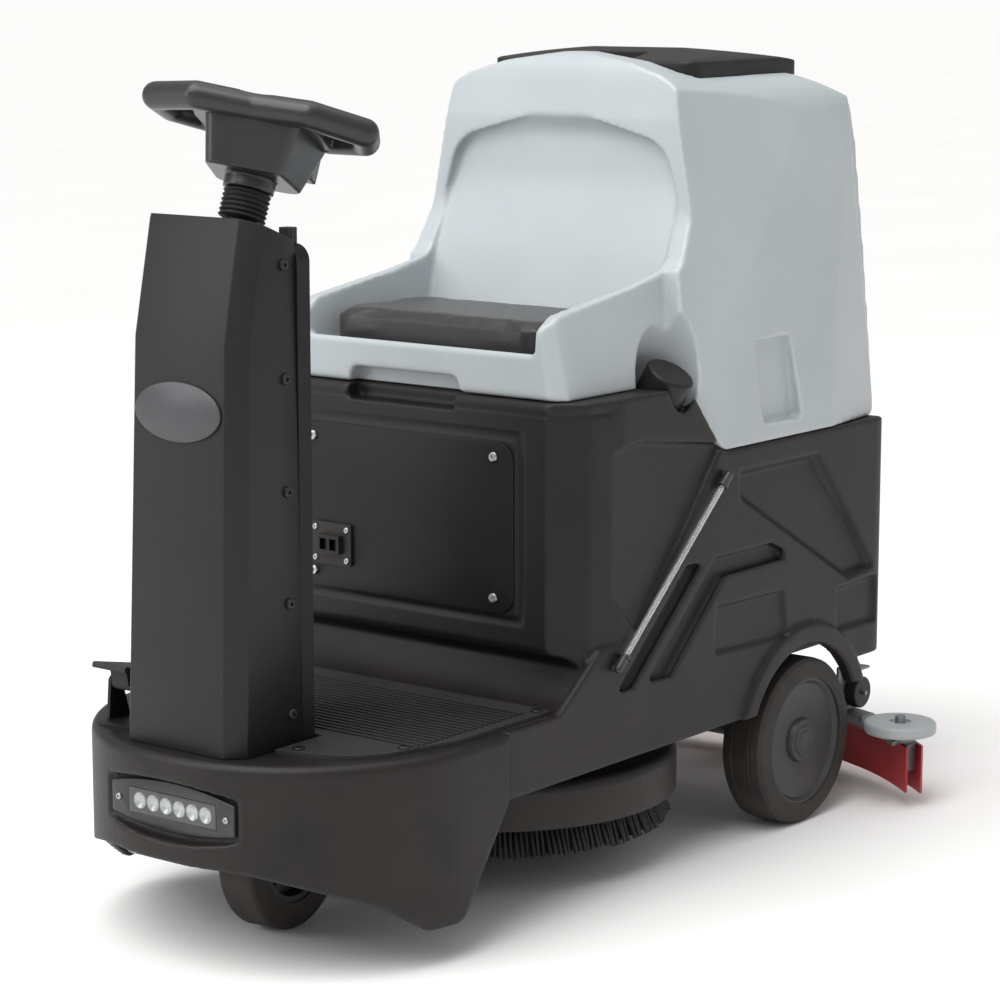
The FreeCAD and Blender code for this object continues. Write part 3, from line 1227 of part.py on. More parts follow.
def squeegee_body():
    """Cast bow with a flange on top, two roller ears and the suction stub in the middle."""
    inner = SQUEEGEE_R - BLADE_GAP
    core = bow(inner + BLADE_T / 2 + SEAT_GAP, SQUEEGEE_R - BLADE_T / 2 - SEAT_GAP,
               SQUEEGEE_HALF_W - 16, BLADE_LOW + 34, BODY_PLATE_Z)
    plate = bow(inner - 22, SQUEEGEE_R + 8, SQUEEGEE_HALF_W - 30, BODY_PLATE_Z, BODY_PLATE_Z + 7)
    ear = cyl((ROLLER_X, ROLLER_Y, BODY_PLATE_Z), (0, 0, 1), 24, 7)
    ear = ear.fuse(cyl((ROLLER_X, ROLLER_Y, BODY_PLATE_Z), (0, 0, 1), ROLLER_BOLT_R,
                       ROLLER_Z + ROLLER_T / 2 + 8 - BODY_PLATE_Z))
    stub = tube((0, SWIVEL_Y + 62, BODY_PLATE_Z), (0, 0, 1), STUB_R, STUB_R - 4, 62)
    pad = box(-42, 42, SWIVEL_Y - 34, SWIVEL_Y + 70, BODY_PLATE_Z, BODY_PLATE_Z + 7)
    ribs = []
    for x in (90, 170, 250):
        y = bow_y(x, SQUEEGEE_R - 35)
        ribs.append(box(x - 3, x + 3, y - 8, y + 26, BODY_PLATE_Z + 5, BODY_PLATE_Z + 16))
    fork = caster_bracket()
    body = fused(core, plate, ear, mirrored(ear), pad, fork, mirrored(fork), *ribs)
    body = fused(body, *[mirrored(r) for r in ribs])
    body = body.fuse(stub)
    body = body.cut(cyl((0, SWIVEL_Y + 62, BLADE_LOW), (0, 0, 1), STUB_R - 4, 60))
    body = body.cut(cyl((0, SWIVEL_Y, BODY_PLATE_Z - 20), (0, 0, 1), SWIVEL_R + RUN, 60))
    return body.removeSplitter()


ROLLER_BOLT_R = 8.0
STUB_R = 25.0
SWIVEL_R = 10.0
CASTER_W = 18.0
CASTER_Z = 134.0


def bow_y(x, r):
    return BOW_CENTRE_Y + math.sqrt(r * r - x * x)


def caster_bracket():
    """Upright angle that carries one small guide wheel on a short axle."""
    z0 = BODY_PLATE_Z + 3
    y = CASTER_Y
    post = box(CASTER_X - 17, CASTER_X - 13, y - 40, y + 14, z0, CASTER_Z + 44)
    shelf = box(CASTER_X - 17, CASTER_X + 16, y - 34, y + 6, CASTER_Z + 40, CASTER_Z + 44)
    stud = cyl((CASTER_X, y - 14, CASTER_Z + 43), (0, 0, 1), 4.5, 18)
    nut = cyl((CASTER_X, y - 14, CASTER_Z + 43), (0, 0, 1), 8, 7)
    axle = cyl((CASTER_X - 14, y, CASTER_Z), (1, 0, 0), 4, 2 * 14)
    return fused(post, shelf, stud, nut, axle)


def caster_wheel():
    wheel = cyl((CASTER_X - CASTER_W / 2 - 1, CASTER_Y, CASTER_Z), (1, 0, 0), CASTER_R, CASTER_W)
    wheel = wheel.makeFillet(3, circle_edges(wheel, CASTER_R))
    return wheel.cut(cyl((CASTER_X - 40, CASTER_Y, CASTER_Z), (1, 0, 0), 4 + RUN, 80))


def roller():
    """Wall roller at one end of the squeegee, recessed round its bolt."""
    low = ROLLER_Z - ROLLER_T / 2
    disc = cyl((ROLLER_X, ROLLER_Y, low), (0, 0, 1), ROLLER_R, ROLLER_T)
    disc = disc.makeFillet(5, circle_edges(disc, ROLLER_R))
    disc = disc.cut(cyl((ROLLER_X, ROLLER_Y, ROLLER_Z + 4), (0, 0, 1), 16, 20))
    return disc.cut(cyl((ROLLER_X, ROLLER_Y, low - 5), (0, 0, 1), ROLLER_BOLT_R + RUN, 60))


def squeegee_blades():
    """Front and rear rubber blades."""
    inner = SQUEEGEE_R - BLADE_GAP
    front = bow(inner - BLADE_T / 2, inner + BLADE_T / 2, SQUEEGEE_HALF_W - 12, BLADE_LOW + 4,
                BLADE_LOW + BLADE_H)
    rear = bow(SQUEEGEE_R - BLADE_T / 2, SQUEEGEE_R + BLADE_T / 2, SQUEEGEE_HALF_W, BLADE_LOW,
               BLADE_LOW + BLADE_H)
    return Part.makeCompound([front, rear])


def squeegee_arm():
    """Tow arm from the chassis pivot to the swivel pin over the squeegee."""
    low = BODY_PLATE_Z + 7 + SEAT_GAP
    cheek = side_prism([(ARM_PIVOT_Y - 16, ARM_PIVOT_Z - 14, 10), (ARM_PIVOT_Y + 16, ARM_PIVOT_Z - 14, 10),
                        (SWIVEL_Y + 6, low), (SWIVEL_Y + 6, low + 14),
                        (ARM_PIVOT_Y + 10, ARM_PIVOT_Z + 18, 12), (ARM_PIVOT_Y - 16, ARM_PIVOT_Z + 18, 12)],
                       ARM_HALF_W - 8, ARM_HALF_W)
    plate = box(-ARM_HALF_W, ARM_HALF_W, SWIVEL_Y - 26, SWIVEL_Y + 22, low, low + 8)
    pin = cyl((0, SWIVEL_Y, BODY_PLATE_Z - 12), (0, 0, 1), SWIVEL_R, low - BODY_PLATE_Z + 28)
    tie = box(-ARM_HALF_W + 4, ARM_HALF_W - 4, SWIVEL_Y - 70, SWIVEL_Y - 60, low + 12, low + 34)
    body = fused(cheek, mirrored(cheek), plate, pin, tie)
    return body.cut(cyl((-100, ARM_PIVOT_Y, ARM_PIVOT_Z), (1, 0, 0), ARM_PIN_R + RUN, 200))


# ---- grey tank, seat and lid ---------------------------------------------------------------
def shell_side():
    """Side outline of the grey tank, seat base and backrest."""
    top = HEIGHT - 8
    low = TANK_STEP_Z + SHELL_GAP
    rear = TANK_REAR_Y - 32
    return [(SEAT_FRONT_Y, TANK_TOP_Z + SHELL_GAP, 8), (SEAT_FRONT_Y, SEAT_FRONT_TOP_Z, 14),
            (SEAT_FRONT_Y + 26, ARM_FRONT_Z, 24), (10, ARM_FRONT_Z + 25), (100, ARM_REAR_Z - 4, 40),
            (BACK_TOP_Y + 12, ARM_REAR_Z + 60, 60), (BACK_TOP_Y + 8, top - 80, 60),
            (BACK_TOP_Y - 4, top, 26), (rear - 210, top - 4, 60), (rear - 20, top - 76, 30),
            (rear + 4, 970, 60), (rear + 12, low, 12), (STEP_LOW_Y + 4, low, 24),
            (STEP_TOP_Y, TANK_TOP_Z + SHELL_GAP, 20)]


def shell_front():
    """Front outline that rounds the shoulders and crowns the top."""
    w = BODY_HALF_W + 20
    half = [(w, 500), (w, 930), (SHOULDER_HALF_W, SHOULDER_Z, 70), (120, HEIGHT - 20, 150)]
    return half + [(-p[0],) + tuple(p[1:]) for p in reversed(half)]


SHOULDER_HALF_W = 240.0
SHOULDER_Z = 1086.0


def shell_block(inset):
    """Grey tank before its hollows: waisted sides, wide at the foot and narrow at the top."""
    z0 = TANK_STEP_Z - 10
    z1 = HEIGHT
    w0 = BODY_HALF_W + 1 - inset
    w1 = 236 - inset
    rear0 = TANK_REAR_Y - 10 - inset
    rear1 = TANK_REAR_Y - 46 - inset
    low = [(w0 - 4, 60 + inset, z0), (w0, 190, z0), (w0, 440, z0), (w0 - 14, rear0, z0)]
    high = [(w1 - 24, 120 + inset, z1), (w1, 190, z1), (w1, 430, z1), (w1 - 14, rear1, z1)]
    back = loft(low + [(-p[0], p[1], p[2]) for p in reversed(low)],
                high + [(-p[0], p[1], p[2]) for p in reversed(high)])
    a = ARMREST_HALF_W - inset
    slope = 40.0
    fore = front_prism([(-a - slope, TANK_TOP_Z - 110), (-a, ARM_FRONT_Z), (-a + 8, 900), (a - 8, 900),
                        (a, ARM_FRONT_Z), (a + slope, TANK_TOP_Z - 110)], SEAT_FRONT_Y - 10, 130)
    return fused(back, fore)


def seat_hollow(grow):
    """Space over the seat, between the armrests and in front of the backrest."""
    w = SEAT_HALF_W + 3 + grow
    spread = 14.0
    floor = SEAT_FLOOR_Z - grow
    well = front_prism([(-w, floor), (w, floor), (w + spread, 880), (-w - spread, 880)],
                       SEAT_FRONT_Y - 60, SEAT_BACK_Y + 60)
    face = side_prism([(SEAT_FRONT_Y - 60, floor), (SEAT_BACK_Y + grow, floor, 30),
                       (BACK_TOP_Y + 4 + grow, 1200), (SEAT_FRONT_Y - 60, 1200)], -300, 300)
    lip = side_prism([(SEAT_FRONT_Y - 60, floor), (SEAT_FRONT_Y + 22, floor),
                      (SEAT_FRONT_Y + 10, floor + 14), (SEAT_FRONT_Y - 60, floor + 14)], -300, 300)
    return well.common(face).cut(lip)


def recovery_tank():
    side = side_prism(shell_side(), -BODY_HALF_W - 20, BODY_HALF_W + 20)
    front = front_prism(shell_front(), SEAT_FRONT_Y - 20, TANK_REAR_Y + 20)
    shell = shell_block(0).common(side).common(front)
    shell = shell.cut(seat_hollow(0))
    shell = shell.cut(dirty_water_space())
    shell = shell.cut(lid_room())
    shell = shell.cut(cyl(along_filler(-30), FILLER_AXIS, CAP_R + CAP_ROOM + 2, 160))
    hand = front_prism([(HAND_X - 102, TANK_TOP_Z - 5), (HAND_X + 102, TANK_TOP_Z - 5),
                        (HAND_X + 92, TANK_TOP_Z + 22, 10), (HAND_X - 92, TANK_TOP_Z + 22, 10)],
                       SEAT_FRONT_Y - 20, SEAT_FRONT_Y + 24)
    shell = shell.cut(hand)
    recess = side_prism([(240, 622), (330, 622), (330, 745), (240, 745)], BODY_HALF_W - 9,
                        BODY_HALF_W + 20, 8)
    shell = shell.cut(recess).cut(mirrored(recess))
    shell = shell.fuse(hinge_barrel()).cut(hinge_bore())
    knuckle_room = cyl((-LID_KNUCKLE_X - CLEAR, LID_PIN_Y, LID_PIN_Z), (1, 0, 0), LID_KNUCKLE_R + 1.5,
                       2 * LID_KNUCKLE_X + 2 * CLEAR)
    shell = shell.cut(knuckle_room).fuse(lid_ears())
    return main_solid(shell.removeSplitter())


HAND_X = -27.0


def dirty_water_space():
    """Hollow of the grey tank: its outer shape less the wall, open under the lid and seat pan."""
    wall = SHELL_WALL
    w = BODY_HALF_W + 20
    side = inset_face(shell_side(), -w, wall).extrude(V(2 * w, 0, 0))
    inner = shell_block(wall + 4).common(side)
    inner = inner.common(box(-w, w, SEAT_FRONT_Y, TANK_REAR_Y, 0, VOID_TOP_Z))
    inner = inner.cut(seat_hollow(wall))
    inner = inner.cut(cyl(along_filler(-30), FILLER_AXIS, CAP_R + CAP_ROOM + 2 + wall, 160))
    bulkhead = box(-w, w, STEP_TOP_Y - 20, STEP_TOP_Y - 20 + wall, 0, 2000)
    inner = inner.cut(bulkhead)
    under = box(-BAY_HALF_W, BAY_HALF_W, SEAT_FRONT_Y + 34, STEP_TOP_Y - 30, TANK_TOP_Z - 20,
                TANK_TOP_Z + 20)
    throat = box(-LID_HALF_W + 24, LID_HALF_W - 24, LID_FRONT_Y + 24, LID_REAR_Y - 24, 1000, 1300)
    return fused(inner, throat, under)



def lid_room():
    return plan_prism(lid_plan(-CLEAR), LID_SEAT_Z - SEAT_GAP, HEIGHT + 50)


LID_SEAT_Z = HEIGHT - LID_T - LID_CROWN - LID_FALL
VOID_TOP_Z = LID_SEAT_Z - 8    # ceiling of the grey tank's hollow


def lid_plan(inset):
    w = LID_HALF_W - inset
    return symmetric([(w, LID_FRONT_Y + inset, 26), (w - 6, LID_REAR_Y - inset, 26)])


LID_PIN_R = 3.0
LID_PIN_Y = LID_REAR_Y + 8
LID_PIN_Z = HEIGHT - LID_FALL - LID_T
LID_KNUCKLE_R = LID_PIN_R + 4
LID_KNUCKLE_X = 40.0


def lid_ears():
    """Two ears with pins behind the lid's opening."""
    x = LID_KNUCKLE_X + CLEAR
    ear = side_prism([(LID_PIN_Y - 7, LID_PIN_Z + 7, 6), (LID_PIN_Y + 7, LID_PIN_Z + 7, 6),
                      (LID_PIN_Y + 16, LID_PIN_Z - 30), (LID_PIN_Y - 2, LID_PIN_Z - 30)], x, x + 8)
    pin = cyl((x + 1, LID_PIN_Y, LID_PIN_Z), (-1, 0, 0), LID_PIN_R, 14)
    return fused(ear, pin, mirrored(ear), mirrored(pin))


def lid_knuckle():
    """Barrel on the lid's rear edge, open on the pins of the two ears."""
    barrel = cyl((-LID_KNUCKLE_X, LID_PIN_Y, LID_PIN_Z), (1, 0, 0), LID_KNUCKLE_R, 2 * LID_KNUCKLE_X)
    web = box(-LID_KNUCKLE_X, LID_KNUCKLE_X, LID_REAR_Y - 14, LID_PIN_Y, LID_PIN_Z - 3,
              LID_PIN_Z + LID_KNUCKLE_R)
    bore = cyl((-200, LID_PIN_Y, LID_PIN_Z), (1, 0, 0), LID_PIN_R + RUN, 400)
    return barrel.fuse(web), bore


def tank_lid():
    """Black lid let into the top of the grey tank: crowned, falling to the rear, with a hand hollow."""
    lid = plan_prism(lid_plan(0), LID_SEAT_Z, HEIGHT)
    w = LID_HALF_W + 10
    crown = Part.Arc(V(-w, LID_FRONT_Y - 5, HEIGHT - LID_CROWN), V(0, LID_FRONT_Y - 5, HEIGHT),
                     V(w, LID_FRONT_Y - 5, HEIGHT - LID_CROWN)).toShape()
    sides = Part.makePolygon([V(w, LID_FRONT_Y - 5, HEIGHT - LID_CROWN), V(w, LID_FRONT_Y - 5, 1000),
                              V(-w, LID_FRONT_Y - 5, 1000), V(-w, LID_FRONT_Y - 5, HEIGHT - LID_CROWN)])
    arch = Part.Face(Part.Wire([crown] + sides.Edges)).extrude(V(0, LID_REAR_Y - LID_FRONT_Y + 10, 0))
    fall = side_prism([(LID_FRONT_Y - 5, 1000), (LID_FRONT_Y - 5, HEIGHT - 6),
                       (LID_FRONT_Y + 110, HEIGHT, 60), (LID_REAR_Y + 5, HEIGHT - LID_FALL),
                       (LID_REAR_Y + 5, 1000)], -w, w)
    lid = lid.common(arch).common(fall)
    hollow = plan_prism(symmetric([(62, LID_FRONT_Y + 14, 16), (52, LID_FRONT_Y + 80, 16)]),
                        HEIGHT - 24, HEIGHT + 10)
    inside = box(-LID_HALF_W + 40, LID_HALF_W - 40, LID_FRONT_Y + 90, LID_REAR_Y - 60, LID_SEAT_Z - 20,
                 LID_SEAT_Z + 14)
    barrel, bore = lid_knuckle()
    return fused(lid.cut(hollow).cut(inside), barrel).cut(bore)


def seat_cushion():
    w = SEAT_HALF_W
    z0 = SEAT_FLOOR_Z + SEAT_GAP
    return plan_prism(symmetric([(w - 2, SEAT_FRONT_Y + 26, 22), (w - 2, SEAT_BACK_Y - 22, 18)]), z0,
                      z0 + CUSHION_T)


HINGE_Y = TANK_REAR_Y + TANK_HINGE_OUT
HINGE_Z = TANK_STEP_Z - TANK_HINGE_DOWN
KNUCKLE_R = TANK_HINGE_R + 6
KNUCKLE_X = 60.0


def hinge_barrel():
    """Moving knuckle of the hinge, on an arm from the foot of the grey tank."""
    barrel = cyl((-KNUCKLE_X, HINGE_Y, HINGE_Z), (1, 0, 0), KNUCKLE_R, 2 * KNUCKLE_X)
    return barrel.fuse(box(-KNUCKLE_X, KNUCKLE_X, HINGE_Y - 36, HINGE_Y, TANK_STEP_Z + SHELL_GAP,
                           TANK_STEP_Z + 14))


def hinge_bore():
    return cyl((-200, HINGE_Y, HINGE_Z), (1, 0, 0), TANK_HINGE_R + RUN, 400)


def tank_hinge():
    """Fixed half of the tank's hinge: two knuckles on a plate on the tank's rear wall, and the pin."""
    x = KNUCKLE_X + CLEAR
    end = x + 24
    knuckle = cyl((x, HINGE_Y, HINGE_Z), (1, 0, 0), KNUCKLE_R, 24)
    leaf = box(x, end, TANK_REAR_Y, HINGE_Y, HINGE_Z - 60, HINGE_Z)
    pin = cyl((-end, HINGE_Y, HINGE_Z), (1, 0, 0), TANK_HINGE_R, 2 * end)
    tie = box(-end, end, TANK_REAR_Y, TANK_REAR_Y + 4, HINGE_Z - 60, HINGE_Z - 20)
    return fused(knuckle, leaf, mirrored(knuckle), mirrored(leaf), pin, tie)


DRAIN_SPOT = (200.0, 372.0)
DRAIN_R = 22.0


def drain_cap():
    """Round screw cap of the drain at the rear."""
    x, z = DRAIN_SPOT
    y = TANK_REAR_Y
    cap = cyl((x, y + SEAT_GAP, z), (0, 1, 0), DRAIN_R, 20)
    for i in range(8):
        a = math.radians(45 * i)
        cap = cap.cut(cyl((x + (DRAIN_R + 1) * math.cos(a), y, z + (DRAIN_R + 1) * math.sin(a)),
                          (0, 1, 0), 4, 30))
    return cap


VACUUM_R = 58.0
VACUUM_H = 100.0


def vacuum_motor():
    """Suction turbine hung under the lid's frame in the dry corner of the tank."""
    return cyl((-LID_HALF_W + 52, BACK_TOP_Y + 150, VOID_TOP_Z - VACUUM_H), (0, 0, 1), VACUUM_R, VACUUM_H)


BOWL_SPOT = (-165.0, -560.0)


def filter_bowl():
    """Clear bowl of the water filter, hung under the nose from its bracket."""
    x, y = BOWL_SPOT
    bowl = cyl((x, y, 92), (0, 0, 1), 30, 26)
    bowl = bowl.makeFillet(8, [e for e in circle_edges(bowl, 30) if e.CenterOfMass.z < 93])
    head = cyl((x, y, 118), (0, 0, 1), 33, 30)
    post = box(x + 18, x + 32, y - 8, y + 8, 146, PLATE_LOW)
    return fused(bowl, head, post)


PARTS = {
    "chassis": chassis,
    "front_deck": front_deck,
    "deck_mat": deck_mat,
    "light_bezel": light_bezel,
    "light_reflector": light_reflector,
    "light_lens": light_lens,
    "column_frame": column_frame,
    "column_cover": column_cover,
    "badge": badge,
    "black_screws": black_screws,
    "bright_screws": bright_screws,
    "lower_shaft": lower_shaft,
    "upper_shaft": upper_shaft,
    "steering_chain": steering_chain,
    "tilt_cradle": tilt_cradle,
    "tilt_knob": tilt_knob,
    "steering_bellows": steering_bellows,
    "hub_shroud": hub_shroud,
    "steering_yoke": steering_yoke,
    "dash_panel": dash_panel,
    "horn_button": horn_button,
    "function_button": function_button,
    "emergency_stop": emergency_stop,
    "key_switch": key_switch,
    "drive_fork": drive_fork,
    "drive_motor": drive_motor,
    "front_tyre": front_tyre,
    "front_rim": front_rim,
    "pedal_base": pedal_base,
    "accelerator_pedal": accelerator_pedal,
    "rear_axle": rear_axle,
    "left_tyre": wheel_tyre,
    "left_rim": wheel_rim,
    "right_tyre": lambda: mirrored(wheel_tyre()),
    "right_rim": lambda: mirrored(wheel_rim()),
    "solution_tank": solution_tank,
    "level_tube": level_tube,
    "filler_cap": filler_cap,
    "battery_panel": battery_panel,
    "charge_socket": charge_socket,
    "batteries": batteries,
    "brush_deck": brush_deck,
    "brush_disc": brush_disc,
    "brush_bristles": brush_bristles,
    "brush_motor": brush_motor,
    "lift_actuator": lift_actuator,
    "squeegee_arm": squeegee_arm,
    "squeegee_body": squeegee_body,
    "squeegee_blades": squeegee_blades,
    "left_roller": roller,
    "right_roller": lambda: mirrored(roller()),
    "left_caster": caster_wheel,
    "right_caster": lambda: mirrored(caster_wheel()),
    "recovery_tank": recovery_tank,
    "seat_cushion": seat_cushion,
    "tank_lid": tank_lid,
    "tank_hinge": tank_hinge,
    "drain_cap": drain_cap,
    "vacuum_motor": vacuum_motor,
    "filter_bowl": filter_bowl,
}

os.makedirs("parts", exist_ok=True)
for name, make in PARTS.items():
    shape = make()
    shape.exportStep("parts/" + name + ".step")
    size = shape.BoundBox
    print(name, len(shape.Solids), round(shape.Volume / 1000), shape.isValid(),
          [round(v) for v in (size.XMin, size.XMax, size.YMin, size.YMax, size.ZMin, size.ZMax)])
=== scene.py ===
"""Looks of a ride-on floor scrubber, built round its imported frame: moulded tanks and nose, steering
head, seat cushion, wheels, brush and squeegee. Lengths in the calls are millimetres."""

import json
import math
import random

import bpy
from mathutils import Matrix, Vector


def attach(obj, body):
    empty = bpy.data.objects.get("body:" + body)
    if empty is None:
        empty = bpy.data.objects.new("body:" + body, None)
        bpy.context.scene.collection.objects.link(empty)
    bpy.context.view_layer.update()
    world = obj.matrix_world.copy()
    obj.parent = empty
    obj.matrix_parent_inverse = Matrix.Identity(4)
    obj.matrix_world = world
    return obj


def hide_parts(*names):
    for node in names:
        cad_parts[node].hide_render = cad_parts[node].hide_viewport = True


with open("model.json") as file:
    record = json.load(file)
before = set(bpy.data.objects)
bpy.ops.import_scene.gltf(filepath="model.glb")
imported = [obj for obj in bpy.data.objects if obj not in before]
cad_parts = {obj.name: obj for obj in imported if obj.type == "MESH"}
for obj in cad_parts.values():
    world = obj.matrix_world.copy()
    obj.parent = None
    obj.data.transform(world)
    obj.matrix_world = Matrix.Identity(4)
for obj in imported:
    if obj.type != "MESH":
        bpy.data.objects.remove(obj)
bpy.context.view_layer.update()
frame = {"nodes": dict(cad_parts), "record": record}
cad_nodes = frame["nodes"]
MM = 0.001
rng = random.Random(7)

# places that several pieces share, in mm
BODY_X = 280                                # half width of the black body
REAR_AXLE = (370, 125)                      # y and z
WHEEL_OUT_X = 288                           # outer face of each rear wheel
FILLER = Vector((227, 50, 656))             # foot of the filler neck
NECK = Vector((math.sin(math.radians(30)), 0, math.cos(math.radians(30))))
TANK_HINGE = (0, 618, 586)                  # pin that the grey tank tips about
LID_HINGE = (0, 508, 1098)
LAMP_Z = 206                                # middle of the work light
STEERING_JOINT = (0, -575, 838)             # ball between the two steering shafts
COLUMN_LEAN, YOKE_TURN, YOKE_S = 20, 28, 246
BRUSH_TOP = Vector((0, -25, 95.5))
SEAT_PAN = 738.5                            # top of the seat pan under the cushion


# ---- the maker's hands ----------------------------------------------------------------------
def only(piece):
    """Makes piece the one selected and active object."""
    bpy.ops.object.select_all(action="DESELECT")
    piece.select_set(True)
    bpy.context.view_layer.objects.active = piece
    return piece


def settle(piece, name):
    """Puts a piece's place, turn and size into its mesh."""
    only(piece)
    bpy.ops.object.transform_apply(location=True, rotation=True, scale=True)
    piece.name = name
    return piece


def block(name, x0, x1, y0, y1, z0, z1):
    """Square block between two corners."""
    bpy.ops.object.select_all(action="DESELECT")
    middle = Vector((x0 + x1, y0 + y1, z0 + z1)) * MM / 2
    bpy.ops.mesh.primitive_cube_add(size=1, location=middle,
                                    scale=((x1 - x0) * MM, (y1 - y0) * MM, (z1 - z0) * MM))
    return settle(bpy.context.object, name)


def drum(name, middle, axis, radius, length, top=None, sides=72):
    """Round bar or cone about an axis through its middle."""
    bpy.ops.object.select_all(action="DESELECT")
    turn = Vector((0, 0, 1)).rotation_difference(Vector(axis)).to_euler()
    bpy.ops.mesh.primitive_cone_add(vertices=sides, radius1=radius * MM, depth=length * MM,
                                    radius2=(radius if top is None else top) * MM,
                                    location=Vector(middle) * MM, rotation=turn)
    return settle(bpy.context.object, name)


def rounded(points, steps=6):
    """Closed outline whose corners (a, b, radius) are drawn as arcs."""
    line = []
    for i, point in enumerate(points):
        here = Vector(point[:2])
        if len(point) == 2:
            line.append(here)
            continue
        before = (Vector(points[i - 1][:2]) - here).normalized()
        after = (Vector(points[(i + 1) % len(points)][:2]) - here).normalized()
        half = before.angle(after) / 2
        centre = here + (before + after).normalized() * point[2] / math.sin(half)
        start = here + before * point[2] / math.tan(half) - centre
        end = here + after * point[2] / math.tan(half) - centre
        for k in range(steps + 1):
            line.append(centre + start.slerp(end, k / steps).normalized() * point[2])
    return line


def span(side, inner, outer):
    """The two x values of one side of the machine, lower one first."""
    return sorted((side * inner, side * outer))


def both_halves(half):
    """Outline symmetric about the middle, from the points of its positive half."""
    return list(half) + [(-p[0],) + tuple(p[1:]) for p in reversed(half)]


def slab(name, outline, low, high, axis="Z", top=None):
    """Outline extruded from low to high: X takes (y, z) points, Y takes (x, z) and Z takes (x, y).
    A second outline gives the far end another shape."""
    put = {"X": lambda a, b, s: (s, a, b), "Y": lambda a, b, s: (a, s, b),
           "Z": lambda a, b, s: (a, b, s)}[axis]
    bpy.ops.object.select_all(action="DESELECT")
    bpy.ops.mesh.primitive_circle_add(vertices=len(outline), fill_type="NGON")
    piece = bpy.context.object
    piece.name = name
    for vertex, (a, b) in zip(piece.data.vertices, outline):
        vertex.co = Vector(put(a, b, low)) * MM
    bpy.ops.object.mode_set(mode="EDIT")
    bpy.ops.mesh.select_all(action="SELECT")
    rise = Vector(put(0, 0, high - low)) * MM
    bpy.ops.mesh.extrude_region_move(TRANSFORM_OT_translate={"value": rise})
    bpy.ops.mesh.select_all(action="SELECT")
    bpy.ops.mesh.normals_make_consistent(inside=False)
    bpy.ops.object.mode_set(mode="OBJECT")
    if top:
        far = ["X", "Y", "Z"].index(axis)
        upper = [v for v in piece.data.vertices if abs(v.co[far] - high * MM) < 1e-6]
        for vertex in upper:
            here = [vertex.co[k] / MM for k in range(3) if k != far]
            i = min(range(len(outline)), key=lambda k: (Vector(outline[k]) - Vector(here)).length)
            vertex.co = Vector(put(*top[i], high)) * MM
    return piece


def turned(name, profile, middle, axis, steps=72):
    """Closed profile of (radius, height) points spun about an axis through middle."""
    bpy.ops.object.select_all(action="DESELECT")
    bpy.ops.mesh.primitive_circle_add(vertices=len(profile), fill_type="NOTHING")
    piece = bpy.context.object
    for vertex, (radius, height) in zip(piece.data.vertices, profile):
        vertex.co = Vector((radius, 0, height)) * MM
    bpy.ops.object.mode_set(mode="EDIT")
    bpy.ops.mesh.select_all(action="SELECT")
    bpy.ops.mesh.spin(steps=steps, angle=2 * math.pi, center=(0, 0, 0), axis=(0, 0, 1))
    bpy.ops.mesh.select_all(action="SELECT")
    bpy.ops.mesh.remove_doubles(threshold=1e-5)
    bpy.ops.mesh.delete_loose()
    bpy.ops.mesh.select_all(action="SELECT")
    bpy.ops.mesh.normals_make_consistent(inside=False)
    bpy.ops.object.mode_set(mode="OBJECT")
    turn = Vector((0, 0, 1)).rotation_difference(Vector(axis)).to_matrix().to_4x4()
    piece.matrix_world = Matrix.Translation(Vector(middle) * MM) @ turn
    return settle(piece, name)


def sliced(piece, point, outward):
    """Cuts away what lies beyond a plane and closes the cut."""
    only(piece)
    bpy.ops.object.mode_set(mode="EDIT")
    bpy.ops.mesh.select_all(action="SELECT")
    bpy.ops.mesh.bisect(plane_co=Vector(point) * MM, plane_no=Vector(outward).normalized(),
                        use_fill=True, clear_outer=True, clear_inner=False)
    bpy.ops.object.mode_set(mode="OBJECT")
    return piece


def planed(piece, point, outward):
    """Planes off what lies beyond a flat face through point."""
    reach = 1500
    slope = Vector((0, 0, 1)).rotation_difference(Vector(outward)).to_euler()
    bpy.ops.object.select_all(action="DESELECT")
    bpy.ops.mesh.primitive_cube_add(size=reach * MM, rotation=slope,
                                    location=Vector(point) * MM + Vector(outward).normalized()
                                    * reach * MM / 2)
    return cut(piece, settle(bpy.context.object, "plane"))


def applied(piece, kind, **settings):
    """Adds a modifier with its settings and applies it."""
    only(piece)
    modifier = piece.modifiers.new("work", kind)
    for key, value in settings.items():
        setattr(modifier, key, value)
    bpy.ops.object.modifier_apply(modifier=modifier.name)
    return piece


def worked(piece, operation, *tools):
    """Joins tools to a piece, cuts them out of it, or keeps what is common to both."""
    for tool in tools:
        applied(piece, "BOOLEAN", operation=operation, object=tool, solver="MANIFOLD")
        bpy.data.objects.remove(tool)
    return piece


def cut(piece, *tools):
    return worked(piece, "DIFFERENCE", *tools)


def fused(piece, *tools):
    return worked(piece, "UNION", *tools)


def moulded(piece, skin, rounds, keep=1.0):
    """Gives a piece the soft corners of a moulding: one even skin, smoothed, then thinned."""
    applied(piece, "REMESH", mode="VOXEL", voxel_size=skin * MM, use_smooth_shade=True)
    applied(piece, "SMOOTH", factor=0.5, iterations=rounds)
    return applied(piece, "DECIMATE", ratio=keep) if keep < 1 else piece


def edged(piece, width, segments=2, angle=32):
    """Small round on every sharp edge, shaded smooth between them."""
    applied(piece, "BEVEL", width=width * MM, segments=segments, limit_method="ANGLE",
            angle_limit=math.radians(angle))
    only(piece)
    bpy.ops.object.shade_smooth_by_angle(angle=math.radians(35))
    return piece


def joined(name, pieces):
    """Several loose parts as one object."""
    bpy.ops.object.select_all(action="DESELECT")
    for piece in pieces:
        piece.select_set(True)
    bpy.context.view_layer.objects.active = pieces[0]
    bpy.ops.object.join()
    pieces[0].name = name
    return pieces[0]


